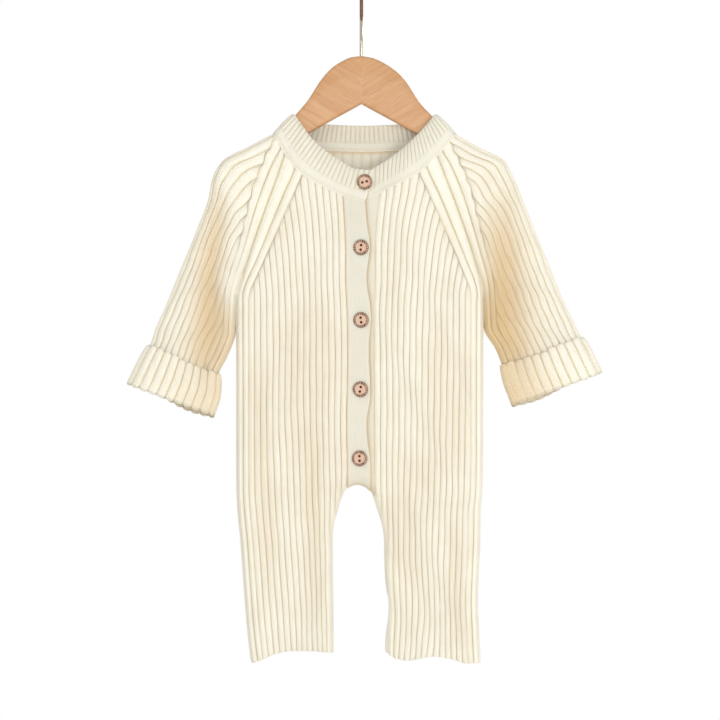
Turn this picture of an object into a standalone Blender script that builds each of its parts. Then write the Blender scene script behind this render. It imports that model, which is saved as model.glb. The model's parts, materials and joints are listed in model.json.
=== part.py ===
"""A rib-knit baby romper hung on a wooden child's hanger.

The cloth is built as hollow walls, one closed solid for each piece that is
knitted and sewn on: two fronts with their legs, a back, raglan sleeves with
turned-back cuffs, a neckband, a button band and the stand under it. The
hanger has two wooden arms and a wire hook.

Frame: origin at the inner top of the hook, +X to the viewer's right, +Y to
the back, +Z up. Tables and sizes are in millimetres; "drop" is the distance
below the origin. Meshes are made in metres.
"""
import math

import bpy
import bmesh
import numpy as np

MM = 0.001

# ---- cloth ----
WALL = 2.4            # thickness of the rib knit
SEAM_GAP = 0.3        # space left between pieces that are sewn together
HALF_GAP = SEAM_GAP / 2
BAND_WALL = 2.0       # plain knit of the button band and its stand
STAND_SET_BACK = 3.0  # the stand lies this far behind the button band
SHELF_REACH = 16.0    # how far the right front takes to come back out again
NECK_LEAN = 0.9       # the neckband's free edge is this much nearer the middle
NECK_BULGE = 0.8      # how far the neckband rounds out between its edges
NECK_ROWS = 4
NECK_STEP = 1.4       # points along the neck seam are no closer than this

# ---- where the outline changes ----
BODY_COLUMNS = 12     # points from a side fold to the button band or mid back
NECK_DROP = 150.0     # top of the raglan seams
ARMPIT_DROP = 298.0
CROTCH_DROP = 477.0   # top of the arch between the legs
CROTCH_X = -3.8
CROTCH_HALF = 12.0    # half width of the arch where its sides turn down
CROTCH_RISE = 6.0
SIDE_ROUND = 21.0     # reach of the rounding at the side folds
LEG_ROUND = 19.0      # the same at the inside legs and under the crotch
SLEEVE_ROUND = 0.34   # the same on a sleeve, as a share of its width
ROUND_POWER = 2.2     # 2 is an ellipse, more is squarer
SEAM_FULLNESS = 0.92  # depth left at the top of a raglan seam

# ---- button front ----
FRONT_TOP = 205.0     # the neck seam meets the button front about here
STAND_LEFT = -8.0     # hidden edge of the stand
BUTTON_R = 7.5
BUTTON_THICK = 2.6
BUTTON_CLEAR = 0.35   # thread shank between a button and the band
HOLE_R = 0.9
HOLE_SPREAD = 2.2     # from the button's middle to each hole

# ---- sleeves ----
SLEEVE_COLUMNS = 11   # points from the seam to the outer fold
CUFF_ROWS = 4         # the sleeve's last rows, which the cuff covers
CUFF_LIFT = 0.8       # space between the sleeve and the cuff turned back over it
CUFF_FOLD = 2.2       # how far the fold rolls below the sleeve's end

# ---- hanger ----
WOOD_HALF = 5.0
WOOD_EDGE = 2.4
JOINT_X = 0.0
WIRE_R = 1.75
HOOK_R = 24.0
SOCKET_R = 2.1
SHANK_END = 86.0
WOOD_TOP = 68.4
TIP_ANGLE = -36.0
SLEEVE_START = 32.0


def table(columns, *rows):
    """A short table: each named column as an array."""
    return dict(zip(columns.split(), np.array(rows, float).T))


def read(tab, key, column, at):
    """A column's value at any place along the key column, by smooth cubics."""
    x, y = tab[key], tab[column]
    at = np.clip(np.asarray(at, float), x[0], x[-1])
    step = np.diff(x)
    rise = np.diff(y) / step
    slope = np.empty_like(y)
    slope[0], slope[-1] = rise[0], rise[-1]
    same_way = rise[:-1] * rise[1:] > 0
    total = rise[:-1] + rise[1:]
    slope[1:-1] = np.where(same_way, 2 * rise[:-1] * rise[1:] / np.where(total == 0, 1, total), 0)
    i = np.clip(np.searchsorted(x, at) - 1, 0, len(step) - 1)
    t = (at - x[i]) / step[i]
    return (y[i] * (1 + 2 * t) * (1 - t) ** 2 + y[i + 1] * t * t * (3 - 2 * t)
            + step[i] * (slope[i] * t * (1 - t) ** 2 - slope[i + 1] * t * t * (1 - t)))


# Outer edges of the body: raglan seams down to the armpit, then side folds.
SIDES = table(
    "drop   left    right",
    (150,  -69.8,   67.6),
    (161,  -72.7,   71.3),
    (200,  -86.2,   86.2),
    (232,  -98.0,   98.0),
    (263, -108.3,  108.0),
    (288, -116.4,  114.6),
    (300, -119.2,  116.2),
    (330, -119.7,  116.4),
    (434, -119.7,  116.4),
    (480, -119.5,  115.8),
    (505, -118.2,  113.9),
    (530, -115.8,  113.7),
    (553, -114.1,  112.8),
    (587, -111.6,  111.4),
    (620, -108.8,  112.6),
    (647, -105.5,  114.0),
)

# Inside legs, from the top of the crotch to the hems.
INSEAMS = table(
    "drop   left    right",
    (477.0,  -3.8,   -3.8),
    (478.5,  -9.8,    2.2),
    (483.0, -15.8,    8.2),
    (490.0, -18.6,   11.2),
    (500.0, -21.8,   14.5),
    (515.0, -25.8,   19.3),
    (530.0, -27.1,   21.3),
    (553.0, -27.1,   21.7),
    (575.0, -26.8,   23.2),
    (590.0, -26.6,   25.8),
    (604.0, -26.4,   25.2),
    (620.0, -26.1,   23.0),
    (637.0, -26.1,   21.9),
)

# The button band's two edges, the right one wavy between its buttons, and
# the edge of the right front beside it.
BAND = table(
    "drop   left   right   stand",
    (200,  -17.8,    3.0,   17.4),
    (225,  -16.2,    4.8,   14.4),
    (250,  -15.3,    7.8,   12.8),
    (279,  -15.2,    4.8,   13.0),
    (314,  -13.6,    9.0,   11.6),
    (346,  -13.2,    6.8,   11.6),
    (386,  -13.6,    8.4,   12.0),
    (415,  -14.2,    4.8,   12.2),
    (432,  -14.0,    5.8,   12.2),
    (451,  -13.6,    8.2,   12.4),
    (480,  -13.4,    8.4,   12.4),
)

# Half depth of the hung body, front or back.
DEPTH = table(
    "drop  depth",
    (120,   9.6),
    (150,  11.0),
    (200,  13.0),
    (260,  15.5),
    (330,  17.0),
    (400,  17.0),
    (470,  16.0),
    (540,  14.5),
    (600,  13.5),
    (647,  13.0),
)

# Hems across a leg: 0 at the side, 1 at the inside leg.
HEMS = table(
    "across  left   right",
    (0.00,  647.0,  647.0),
    (0.14,  643.4,  647.0),
    (0.30,  638.2,  643.0),
    (0.50,  635.0,  640.4),
    (0.75,  635.2,  644.0),
    (0.88,  636.2,  642.6),
    (1.00,  637.0,  636.0),
)

# The neck seam and the neckband's free edge, in front and behind.
NECK_LEFT = table(
    "seam_x  seam_drop  top_x  top_drop",
    (-84.1,    141.6,   -64.5,   122.5),
    (-72.7,    160.6,   -55.0,   136.0),
    (-66.9,    170.0,   -48.5,   145.4),
    (-52.2,    183.4,   -36.0,   157.2),
    (-30.3,    195.2,   -19.0,   168.6),
    (-12.2,    203.3,    -5.0,   176.0),
    (3.4,      208.6,    13.4,   177.4),
)
NECK_RIGHT = table(
    "seam_x  seam_drop  top_x  top_drop",
    (-9.0,     207.0,    -4.0,   178.0),
    (3.0,      204.6,     5.5,   177.0),
    (17.6,     198.0,    18.6,   170.6),
    (35.6,     189.0,    38.0,   157.0),
    (53.7,     179.4,    49.0,   147.0),
    (71.3,     163.0,    60.5,   135.0),
    (90.3,     142.0,    70.5,   122.5),
)
NECK_BACK = table(
    "seam_x  seam_drop  top_x  top_drop",
    (-84.1,    141.6,   -64.5,   122.5),
    (-69.8,    150.6,   -56.0,   128.0),
    (-34.7,    157.6,   -30.0,   132.4),
    (1.0,      158.8,     1.0,   133.6),
    (36.7,     157.6,    33.0,   132.4),
    (67.6,     150.6,    59.0,   128.0),
    (90.3,     142.0,    70.5,   122.5),
)

# Sleeves row by row: the outer fold, then the raglan seam down to the armpit
# and the underarm fold below it. "hollow" is how far the soft fold that hangs
# from the shoulder sinks in, as a share of the depth, and "place" is where it lies
# across the sleeve, 0 underarm to 1 outer fold.
SLEEVE_LEFT = table(
    "along  out_x  out_drop   in_x  in_drop  back_drop  depth  hollow  place",
    (0,    -84.1,   141.6,   -72.7,  160.6,    150.6,   11.0,   0.00,  0.80),
    (1,   -107.8,   153.9,   -79.6,  181.0,    174.0,   12.0,   0.02,  0.80),
    (2,   -132.5,   167.2,   -88.5,  206.0,    201.0,   13.0,   0.06,  0.78),
    (3,   -142.4,   183.4,   -98.0,  232.0,    229.0,   14.0,   0.16,  0.76),
    (4,   -146.4,   204.0,  -106.7,  258.0,    256.0,   15.0,   0.30,  0.73),
    (5,   -156.0,   230.0,  -113.8,  280.0,    279.0,   15.5,   0.42,  0.63),
    (6,   -169.0,   262.0,  -118.9,  298.0,    298.0,   15.5,   0.50,  0.52),
    (7,   -177.5,   282.6,  -120.6,  314.0,    314.0,   15.5,   0.54,  0.43),
    (8,   -187.0,   306.0,  -120.7,  333.0,    333.0,   15.0,   0.54,  0.37),
    (9,   -196.0,   326.0,  -127.4,  354.0,    354.0,   14.5,   0.50,  0.31),
    (10,  -202.4,   344.0,  -136.2,  373.0,    373.0,   14.0,   0.40,  0.24),
    (11,  -211.0,   361.0,  -137.0,  390.0,    390.0,   14.0,   0.24,  0.20),
    (12,  -220.4,   380.0,  -142.4,  408.6,    408.6,   14.0,   0.12,  0.18),
)
SLEEVE_RIGHT = table(
    "along  out_x  out_drop   in_x  in_drop  back_drop  depth  hollow  place",
    (0,     90.3,   142.0,    71.3,  163.0,    150.6,   11.0,   0.00,  0.66),
    (1,    112.0,   154.6,    78.3,  182.0,    174.0,   12.0,   0.02,  0.66),
    (2,    136.4,   167.2,    86.4,  206.0,    201.0,   13.0,   0.10,  0.65),
    (3,    145.4,   183.4,    95.0,  232.0,    229.0,   14.0,   0.24,  0.62),
    (4,    153.6,   203.0,   103.5,  258.0,    256.0,   15.0,   0.38,  0.58),
    (5,    164.5,   231.0,   110.6,  280.0,    279.0,   15.5,   0.48,  0.49),
    (6,    177.6,   263.0,   115.4,  298.0,    298.0,   15.5,   0.56,  0.39),
    (7,    186.0,   284.0,   117.2,  313.0,    313.0,   15.5,   0.60,  0.34),
    (8,    194.6,   304.6,   117.9,  329.0,    329.0,   15.0,   0.60,  0.30),
    (9,    202.6,   320.6,   128.0,  348.0,    348.0,   14.5,   0.54,  0.23),
    (10,   210.4,   336.6,   134.2,  364.0,    364.0,   14.0,   0.42,  0.18),
    (11,   217.6,   351.0,   138.4,  380.0,    380.0,   14.0,   0.26,  0.16),
    (12,   226.6,   369.4,   145.2,  398.4,    398.4,   14.0,   0.14,  0.14),
)
ARMPIT_ROW = 6
LAST_ROW = 12
HOLLOW_WIDTH = 0.17   # of a sleeve's soft fold, as a share of the sleeve's width

# Wooden hanger: top edge from the hook out to each tip, then the lower edge.
HANGER_LEFT = table(
    "x      drop",
    (0.0,    68.4),
    (-10.0,  69.6),
    (-18.0,  73.0),
    (-26.0,  78.0),
    (-33.0,  84.4),
    (-40.0,  93.2),
    (-46.0, 102.6),
    (-51.0, 110.4),
    (-56.0, 116.6),
    (-62.0, 123.6),
    (-70.0, 133.4),
    (-82.0, 144.6),
    (-106.0, 157.4),
    (-123.0, 167.2),
    (-128.6, 172.0),
    (-130.4, 178.0),
    (-128.4, 183.6),
    (-123.0, 184.0),
    (-51.0, 142.0),
    (0.0,   114.0),
)
HANGER_RIGHT = table(
    "x      drop",
    (0.0,    68.4),
    (10.0,   70.0),
    (19.0,   73.6),
    (28.0,   79.0),
    (36.0,   85.4),
    (43.0,   93.4),
    (48.6,  102.0),
    (54.0,  110.6),
    (60.0,  117.8),
    (67.0,  125.0),
    (76.0,  134.8),
    (88.0,  145.6),
    (112.0, 158.8),
    (126.4, 167.8),
    (132.2, 172.6),
    (134.2, 178.8),
    (132.2, 184.6),
    (126.4, 184.8),
    (54.0,  143.4),
    (0.0,   114.0),
)

# Button centres, and the turn of the line through their two holes.
BUTTONS = table(
    "x     drop   turn",
    (3.0,  189.0,   14),
    (-0.5, 251.3,   84),
    (-0.5, 320.2,   97),
    (-1.0, 386.0,   78),
    (-1.8, 451.6,   92),
)

CREAM = (0.90, 0.83, 0.69)
CREAM_SHADE = (0.86, 0.78, 0.62)
BEECH = (0.66, 0.39, 0.19)
BUTTON_WOOD = (0.62, 0.38, 0.24)
STEEL = (0.62, 0.61, 0.58)
BRONZE_VINYL = (0.14, 0.07, 0.03)


# ---------------------------------------------------------------- materials

def material(name, colour, roughness, metallic=0.0):
    """A Principled material of one colour."""
    made = bpy.data.materials.new(name)
    made.use_nodes = True
    shader = made.node_tree.nodes["Principled BSDF"]
    shader.inputs["Base Color"].default_value = (*colour, 1.0)
    shader.inputs["Roughness"].default_value = roughness
    shader.inputs["Metallic"].default_value = metallic
    return made


# ---------------------------------------------------------------- cloth form

def rounded(distance, reach):
    """0 on a folded edge, rising like a quarter ellipse to 1 at the reach."""
    share = np.clip(distance / reach, 0, 1)
    return (1 - (1 - share) ** ROUND_POWER) ** (1 / ROUND_POWER)


def seam_fullness(drop):
    """Share of the depth left at a raglan seam: full at the neck, 0 at the armpit."""
    share = np.clip((drop - NECK_DROP) / (ARMPIT_DROP - NECK_DROP), 0, 1)
    return SEAM_FULLNESS * np.sqrt(1 - share ** 3)


def arch_drop(x):
    """The crotch arch above a place between the legs."""
    return CROTCH_DROP + CROTCH_RISE * ((x - CROTCH_X) / CROTCH_HALF) ** 2


def body_depth(x, drop, side, inner_x):
    """Half depth of the body at a point between its side and the inner edge."""
    edge = read(SIDES, "drop", side, drop)
    full = seam_fullness(drop)
    at_side = full + (1 - full) * rounded(abs(x - edge), SIDE_ROUND)
    above = rounded(np.maximum(arch_drop(inner_x) - drop, 0), LEG_ROUND)
    at_leg = above + (1 - above) * rounded(abs(x - inner_x), LEG_ROUND)
    return read(DEPTH, "drop", "depth", drop) * at_side * at_leg


def shelf(x, drop):
    """How far the right front lies behind the button band, near its edge."""
    away = (x - read(BAND, "drop", "stand", drop)) / SHELF_REACH
    fade = np.clip((arch_drop(CROTCH_X) - drop) / (2 * LEG_ROUND), 0, 1)
    return STAND_SET_BACK * np.exp(-away ** 2) * fade


def clustered(count, power=1.0):
    """Places from 0 to 1, closer together at both ends."""
    even = np.linspace(0, 1, count)
    return (1 - power) * even + power * (1 - np.cos(np.pi * even)) / 2


def grid_normals(points, outward):
    """Unit normals of a grid of points, turned to face the outward hint."""
    along = np.gradient(points, axis=0)
    across = np.gradient(points, axis=1)
    normal = np.cross(along, across)
    normal /= np.maximum(np.linalg.norm(normal, axis=2, keepdims=True), 1e-9)
    facing = np.sign((normal * outward).sum(axis=2, keepdims=True))
    return normal * np.where(facing == 0, 1, facing)


def edge_normals(points, fullness, outer_sign, face):
    """Normals along a folded or raglan edge: sideways on a fold, forwards on a seam."""
    run = np.gradient(points, axis=0)
    sideways = np.stack([-run[:, 2], np.zeros(len(run)), run[:, 0]], axis=1)
    sideways /= np.maximum(np.linalg.norm(sideways, axis=1, keepdims=True), 1e-9)
    turn = np.sign(sideways[:, 0]) * outer_sign
    sideways *= np.where(turn == 0, 1, turn)[:, None]
    forwards = np.array([0.0, face, 0.0])
    share = (fullness / SEAM_FULLNESS)[:, None]
    normal = share * forwards + (1 - share) * sideways
    return normal / np.linalg.norm(normal, axis=1, keepdims=True)


def add_wall(name, patches, thickness, finish):
    """One closed wall from patches of outer points and normals, welded where they meet."""
    index, outer, inner, faces = {}, [], [], []
    for points, normals in patches:
        ids = np.empty(points.shape[:2], int)
        for place in np.ndindex(ids.shape):
            key = tuple(np.round(points[place], 3))
            if key not in index:
                index[key] = len(outer)
                outer.append(points[place])
                inner.append(points[place] - thickness * normals[place])
            ids[place] = index[key]
        for row, col in np.ndindex(ids.shape[0] - 1, ids.shape[1] - 1):
            ring = (ids[row, col], ids[row, col + 1], ids[row + 1, col + 1], ids[row + 1, col])
            corners = list(dict.fromkeys(int(corner) for corner in ring))
            if len(corners) > 2:
                faces.append(corners)
    used = {}
    for corners in faces:
        for a, b in zip(corners, corners[1:] + corners[:1]):
            used.setdefault(frozenset((a, b)), []).append((a, b))
    count = len(outer)
    back = [[corner + count for corner in reversed(corners)] for corners in faces]
    rim = [[b, a, a + count, b + count] for (a, b), *more in used.values() if not more]
    return add_mesh(name, np.array(outer + inner), faces + back + rim, finish)


def add_mesh(name, points, faces, finish):
    """A mesh object from points in millimetres, with its faces turned outwards."""
    mesh = bpy.data.meshes.new(name)
    mesh.from_pydata([tuple(point) for point in np.asarray(points) * MM], [], faces)
    bm = bmesh.new()
    bm.from_mesh(mesh)
    bmesh.ops.recalc_face_normals(bm, faces=bm.faces)
    bm.to_mesh(mesh)
    bm.free()
    mesh.shade_smooth()
    mesh.set_sharp_from_angle(angle=math.radians(50))
    mesh.materials.append(finish)
    made = bpy.data.objects.new(name, mesh)
    bpy.context.collection.objects.link(made)
    return made


# ---------------------------------------------------------------- fronts and back

FIRST_ROW = 8.0       # rows start at least this far below the neck seam
ROW_DROPS = (176, 196, 216, 238, 264, 292, 322, 356, 390, 424, 450, 465, 474, 478.5, 483, 490, 500, 515,
             530, 553, 578, 600, 620)
STRIP_ROWS = (0, 0.1, 0.2, 0.3, 0.4, 0.5, 0.6, 0.7, 0.8, 0.87, 0.93, 0.965, 0.985, 1)


def seam_edge(drop, side, face):
    """Inner edge of one half above the legs: beside the button band, or mid back."""
    if face > 0:
        return np.full_like(np.asarray(drop, float), CROTCH_X)
    return read(BAND, "drop", "left" if side == "left" else "stand", drop)


def inner_edge(drop, side, face):
    """Inner edge of one half all the way down: the seam above, then the inside leg."""
    seam = seam_edge(drop, side, face)
    leg = read(INSEAMS, "drop", side, drop)
    past = (leg < seam) if side == "left" else (leg > seam)
    return np.where((drop >= CROTCH_DROP) & past, leg, seam)


def body_half(side, face, columns):
    """Outer points and normals of one half of the front (face -1) or back (face +1)."""
    outer_sign = -1 if side == "left" else 1
    sleeve = SLEEVE_LEFT if side == "left" else SLEEVE_RIGHT
    front_neck = NECK_LEFT if side == "left" else NECK_RIGHT
    neck = front_neck if face < 0 else NECK_BACK
    top_side = sleeve["in_drop" if face < 0 else "back_drop"][0]
    across = clustered(columns, 0.75)
    side_top_x = read(SIDES, "drop", side, top_side)
    seam_top_x = seam_edge(np.array(FRONT_TOP), side, face)
    top_x = side_top_x + across * (seam_top_x - side_top_x)
    top = read(neck, "seam_x", "seam_drop", top_x)
    top += (1 - across) * (top_side - top[0])
    hem = read(HEMS, "across", side, across)
    middle = np.array([top[-1], *[drop for drop in ROW_DROPS if drop > top[-1] + FIRST_ROW], hem[-1]])
    down = ((middle - middle[0]) / (middle[-1] - middle[0]))[:, None]
    drop = top + down * (hem - top)
    side_x = read(SIDES, "drop", side, drop[:, 0])[:, None]
    inner_x = inner_edge(drop[:, -1], side, face)[:, None]
    x = side_x + across * (inner_x - side_x)
    depth = body_depth(x, drop, side, inner_edge(drop, side, face))
    if face < 0 and side == "right":
        depth = depth - shelf(x, drop)
    points = np.stack([x, face * np.maximum(depth, HALF_GAP), -drop], axis=2)
    normals = grid_normals(points, np.array([0.0, face, 0.0]))
    full = seam_fullness(drop[:, 0])
    normals[:, 0] = edge_normals(points[:, 0], full, outer_sign, face)
    on_leg = drop[:, -1] >= arch_drop(inner_x[:, 0]) - 0.6
    leg_normals = edge_normals(points[:, -1], np.zeros(len(drop)), -outer_sign, face)
    seam_normals = normals[:, -1] * np.array([0.0, 1.0, 1.0])
    seam_normals /= np.linalg.norm(seam_normals, axis=1, keepdims=True)
    normals[:, -1] = np.where(on_leg[:, None], leg_normals, seam_normals)
    return points, normals


def strip(left, right, neck, set_back, top_x, columns=5):
    """A plain strip down the front between two edges, folding under at the crotch."""
    across = np.linspace(0, 1, columns)
    top_drop = read(neck, "seam_x", "seam_drop", top_x[0] + across * (top_x[1] - top_x[0]))
    down = np.array(STRIP_ROWS)[:, None]
    guess = top_drop + down * (CROTCH_DROP - top_drop)
    x = left(guess) + across * (right(guess) - left(guess))
    end = arch_drop(x) - set_back
    drop = top_drop + down * (end - top_drop)
    reach = LEG_ROUND - set_back
    depth = read(DEPTH, "drop", "depth", drop) - set_back
    depth = depth * rounded(np.maximum(end - drop, 0), reach)
    points = np.stack([x, -np.maximum(depth, HALF_GAP), -drop], axis=2)
    normals = grid_normals(points, np.array([0.0, -1.0, 0.0]))
    normals *= np.array([0.0, 1.0, 1.0])
    normals /= np.linalg.norm(normals, axis=2, keepdims=True)
    normals[-1] = (0, 0, -1)
    return points, normals


# ---------------------------------------------------------------- sleeves

def sleeve_rows(rows, tab, side, around):
    """Outer points and normals of a sleeve: front edge, over the outer fold, to the back edge."""
    outer_sign = -1 if side == "left" else 1
    share = clustered(around, 0.8)
    along = np.asarray(rows, float)
    values = {name: read(tab, "along", name, along)[:, None] for name in tab if name != "along"}
    edge_drop = {-1: values["in_drop"], 1: values["back_drop"]}
    halves, half_normals = [], []
    for face in (-1, 1):
        drop_in = edge_drop[face]
        on_raglan = along[:, None] <= ARMPIT_ROW
        in_x = np.where(on_raglan, read(SIDES, "drop", side, drop_in), values["in_x"])
        x = in_x + share * (values["out_x"] - in_x)
        drop = drop_in + share * (values["out_drop"] - drop_in)
        full = np.where(on_raglan, seam_fullness(drop_in), 0)
        seam_depth = read(DEPTH, "drop", "depth", drop_in) * full
        near_fold = rounded(1 - share, SLEEVE_ROUND)
        near_edge = rounded(share, SLEEVE_ROUND)
        hollow = values["hollow"] * np.exp(-((share - values["place"]) / HOLLOW_WIDTH) ** 2)
        depth = (seam_depth * (1 - near_edge) + values["depth"] * near_edge) * near_fold
        depth = np.maximum(depth * (1 - hollow), 0)
        points = np.stack([x, face * depth, -drop], axis=2)
        halves.append(points)
    front, rear = halves
    points = np.concatenate([front, rear[:, -2::-1]], axis=1)
    faces = np.where(np.arange(points.shape[1]) < around, -1.0, 1.0)
    hint = np.stack([np.full(len(faces), 0.0), faces, np.zeros(len(faces))], axis=1)
    hint[around - 1] = (outer_sign, 0, 0)
    normals = grid_normals(points, hint[None])
    fullness = np.where(along <= ARMPIT_ROW, seam_fullness(-points[:, 0, 2]), 0)
    normals[:, 0] = edge_normals(points[:, 0], fullness, -outer_sign, -1)
    normals[:, -1] = edge_normals(points[:, -1], fullness, -outer_sign, 1)
    return points, normals


def add_sleeve(name, tab, side, finish):
    """A raglan sleeve: open along its raglan edges, closed under the arm below them."""
    rows = np.array([0, 1, 2, 3, 4, 5, 5.6, 6, 7, 8, 9, 10, 10.6, 11.3, LAST_ROW])
    points, normals = sleeve_rows(rows, tab, side, SLEEVE_COLUMNS)
    away = -1 if side == "left" else 1
    for edge in (0, -1):
        points[rows <= ARMPIT_ROW, edge, 0] += away * SEAM_GAP
    add_wall(name, [(points, normals)], WALL, finish)
    return points, normals


def add_cuff(name, sleeve, finish):
    """A turned-back cuff: the sleeve's last rows moved out, and the fold they roll over."""
    points, normals = (grid[-CUFF_ROWS:, :-1] for grid in sleeve)
    down = points[-1] - points[-2]
    down /= np.linalg.norm(down, axis=1, keepdims=True)
    end, out = points[-1] + SEAM_GAP * down, normals[-1]
    outside = points + (CUFF_LIFT + WALL) * normals
    inside = points + CUFF_LIFT * normals
    fold = [
        end + 0.6 * CUFF_FOLD * down + 0.8 * WALL * out,
        end + CUFF_FOLD * down + 0.1 * out,
        end + 0.6 * CUFF_FOLD * down - 0.8 * WALL * out,
        end - WALL * out,
        end,
        end + 0.5 * CUFF_LIFT * out + SEAM_GAP * down,
    ]
    ring = np.array([*outside, *fold, *inside[::-1]])
    count, around = ring.shape[:2]
    faces = []
    for step, col in np.ndindex(count, around):
        after, beside = (step + 1) % count, (col + 1) % around
        faces.append([step * around + col, step * around + beside,
                      after * around + beside, after * around + col])
    add_mesh(name, ring.reshape(-1, 3), faces, finish)


# ---------------------------------------------------------------- neckband

def neck_top(seam, tab):
    """The neckband's free edge above each point of the seam."""
    x = read(tab, "seam_x", "top_x", seam[:, 0])
    drop = read(tab, "seam_x", "top_drop", seam[:, 0])
    return np.stack([x, NECK_LEAN * seam[:, 1], -drop], axis=1)


def add_neckband(stretches, finish):
    """The band from its over-end in front, round the back, to its under-end."""
    seam = np.concatenate([points for points, _, _ in stretches])
    normal = np.concatenate([normals for _, normals, _ in stretches])
    top = np.concatenate([neck_top(points, tab) for points, _, tab in stretches])
    keep = [0]
    for place in range(1, len(seam)):
        if np.linalg.norm(seam[place] - seam[keep[-1]]) > NECK_STEP:
            keep.append(place)
    seam, normal, top = seam[keep], normal[keep], top[keep]
    way = (top - seam) / np.linalg.norm(top - seam, axis=1, keepdims=True)
    seam = seam + SEAM_GAP * way
    rows = []
    for share in np.linspace(0, 1, NECK_ROWS):
        bulge = NECK_BULGE * 4 * share * (1 - share)
        rows.append(seam + share * (top - seam) + bulge * normal)
    points = np.array(rows)
    normals = grid_normals(points, normal[None])
    normals[0] = normal
    return add_wall("neckband", [(points, normals)], WALL, finish)


# ---------------------------------------------------------------- buttons

def add_button(name, x, drop, face_y, turn, finish):
    """A turned wooden button with a rim, a dished middle and two holes."""
    half = BUTTON_THICK / 2
    profile = [(0, half - 0.5), (4.4, half - 0.4), (5.6, half), (6.8, half - 0.1),
               (BUTTON_R, half - 0.9), (BUTTON_R - 0.3, -half + 0.4), (6.2, -half), (0, -half)]
    steps = 16
    points, faces = [(0, 0, profile[0][1])], []
    for radius, height in profile[1:-1]:
        for step in range(steps):
            angle = math.tau * step / steps
            points.append((radius * math.cos(angle), radius * math.sin(angle), height))
    points.append((0, 0, profile[-1][1]))
    rings = len(profile) - 2
    for step in range(steps):
        beside = (step + 1) % steps
        faces.append([0, 1 + step, 1 + beside])
        for ring in range(rings - 1):
            near, far = 1 + ring * steps, 1 + (ring + 1) * steps
            faces.append([near + step, far + step, far + beside, near + beside])
        last = 1 + (rings - 1) * steps
        faces.append([last + beside, last + step, len(points) - 1])
    made = add_mesh(name, points, faces, finish)
    made.location = (x * MM, face_y * MM, -drop * MM)
    made.rotation_euler = (math.radians(90), 0, 0)
    for hole in (-1, 1):
        angle = math.radians(turn)
        offset = hole * HOLE_SPREAD
        cutter = add_cutter(f"{name}_hole_{hole}", HOLE_R, 3 * BUTTON_THICK, 10)
        cutter.location = ((x + offset * math.cos(angle)) * MM, face_y * MM,
                           (-drop + offset * math.sin(angle)) * MM)
        cutter.rotation_euler = (math.radians(90), 0, 0)
        cut(made, cutter)


def add_cutter(name, radius, length, sides):
    """A hidden cylinder that another object is cut with."""
    bm = bmesh.new()
    bmesh.ops.create_cone(bm, cap_ends=True, segments=sides, radius1=radius * MM,
                          radius2=radius * MM, depth=length * MM)
    mesh = bpy.data.meshes.new(name)
    bm.to_mesh(mesh)
    bm.free()
    made = bpy.data.objects.new(name, mesh)
    made.hide_render = True
    made.display_type = "WIRE"
    bpy.context.collection.objects.link(made)
    return made


def cut(target, cutter):
    """Cuts one object with another."""
    boolean = target.modifiers.new(cutter.name, "BOOLEAN")
    boolean.operation = "DIFFERENCE"
    boolean.solver = "EXACT"
    boolean.object = cutter


# ---------------------------------------------------------------- hanger

def add_arm(name, tab, finish):
    """One wooden half: its outline extruded, with rounded long edges."""
    away = -1 if tab["x"][5] < 0 else 1
    outline = [(x + (away * HALF_GAP if x == JOINT_X else 0), -drop)
               for x, drop in zip(tab["x"], tab["drop"])]
    bm = bmesh.new()
    front = [bm.verts.new((x * MM, -WOOD_HALF * MM, z * MM)) for x, z in outline]
    base = bm.faces.new(front)
    grown = bmesh.ops.extrude_face_region(bm, geom=[base])
    moved = [item for item in grown["geom"] if isinstance(item, bmesh.types.BMVert)]
    bmesh.ops.translate(bm, verts=moved, vec=(0, 2 * WOOD_HALF * MM, 0))
    bmesh.ops.recalc_face_normals(bm, faces=bm.faces)
    joint = 2 * HALF_GAP * MM
    long_edges = [edge for edge in bm.edges
                  if abs(edge.verts[0].co.y - edge.verts[1].co.y) < 1e-6
                  and max(abs(vert.co.x) for vert in edge.verts) > joint]
    bmesh.ops.bevel(bm, geom=long_edges, offset=WOOD_EDGE * MM, segments=3, profile=0.5,
                    affect="EDGES", clamp_overlap=True)
    bmesh.ops.recalc_face_normals(bm, faces=bm.faces)
    mesh = bpy.data.meshes.new(name)
    bm.to_mesh(mesh)
    bm.free()
    mesh.shade_smooth()
    mesh.set_sharp_from_angle(angle=math.radians(40))
    mesh.materials.append(finish)
    made = bpy.data.objects.new(name, mesh)
    bpy.context.collection.objects.link(made)
    deep = SHANK_END - WOOD_TOP + 1.0
    socket = add_cutter(f"{name}_socket", SOCKET_R, deep + 10, 16)
    socket.location = (0, 0, (-WOOD_TOP - deep / 2 + 5) * MM)
    cut(made, socket)


def add_wire(name, places, radii, finish):
    """A round wire along a row of points, with closed ends."""
    curve = bpy.data.curves.new(name, "CURVE")
    curve.dimensions = "3D"
    curve.bevel_depth = WIRE_R * MM
    curve.bevel_resolution = 3
    curve.use_fill_caps = True
    spline = curve.splines.new("POLY")
    spline.points.add(len(places) - 1)
    for point, (y, z), radius in zip(spline.points, places, radii):
        point.co = (0, y * MM, z * MM, 1)
        point.radius = radius
    curve.materials.append(finish)
    made = bpy.data.objects.new(name, curve)
    bpy.context.collection.objects.link(made)


def hook_circle(degrees):
    """A point of the hook's arc, 0 degrees at the back and 180 in front."""
    angle = math.radians(degrees)
    return HOOK_R * math.cos(angle), WIRE_R - HOOK_R + HOOK_R * math.sin(angle)


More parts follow.
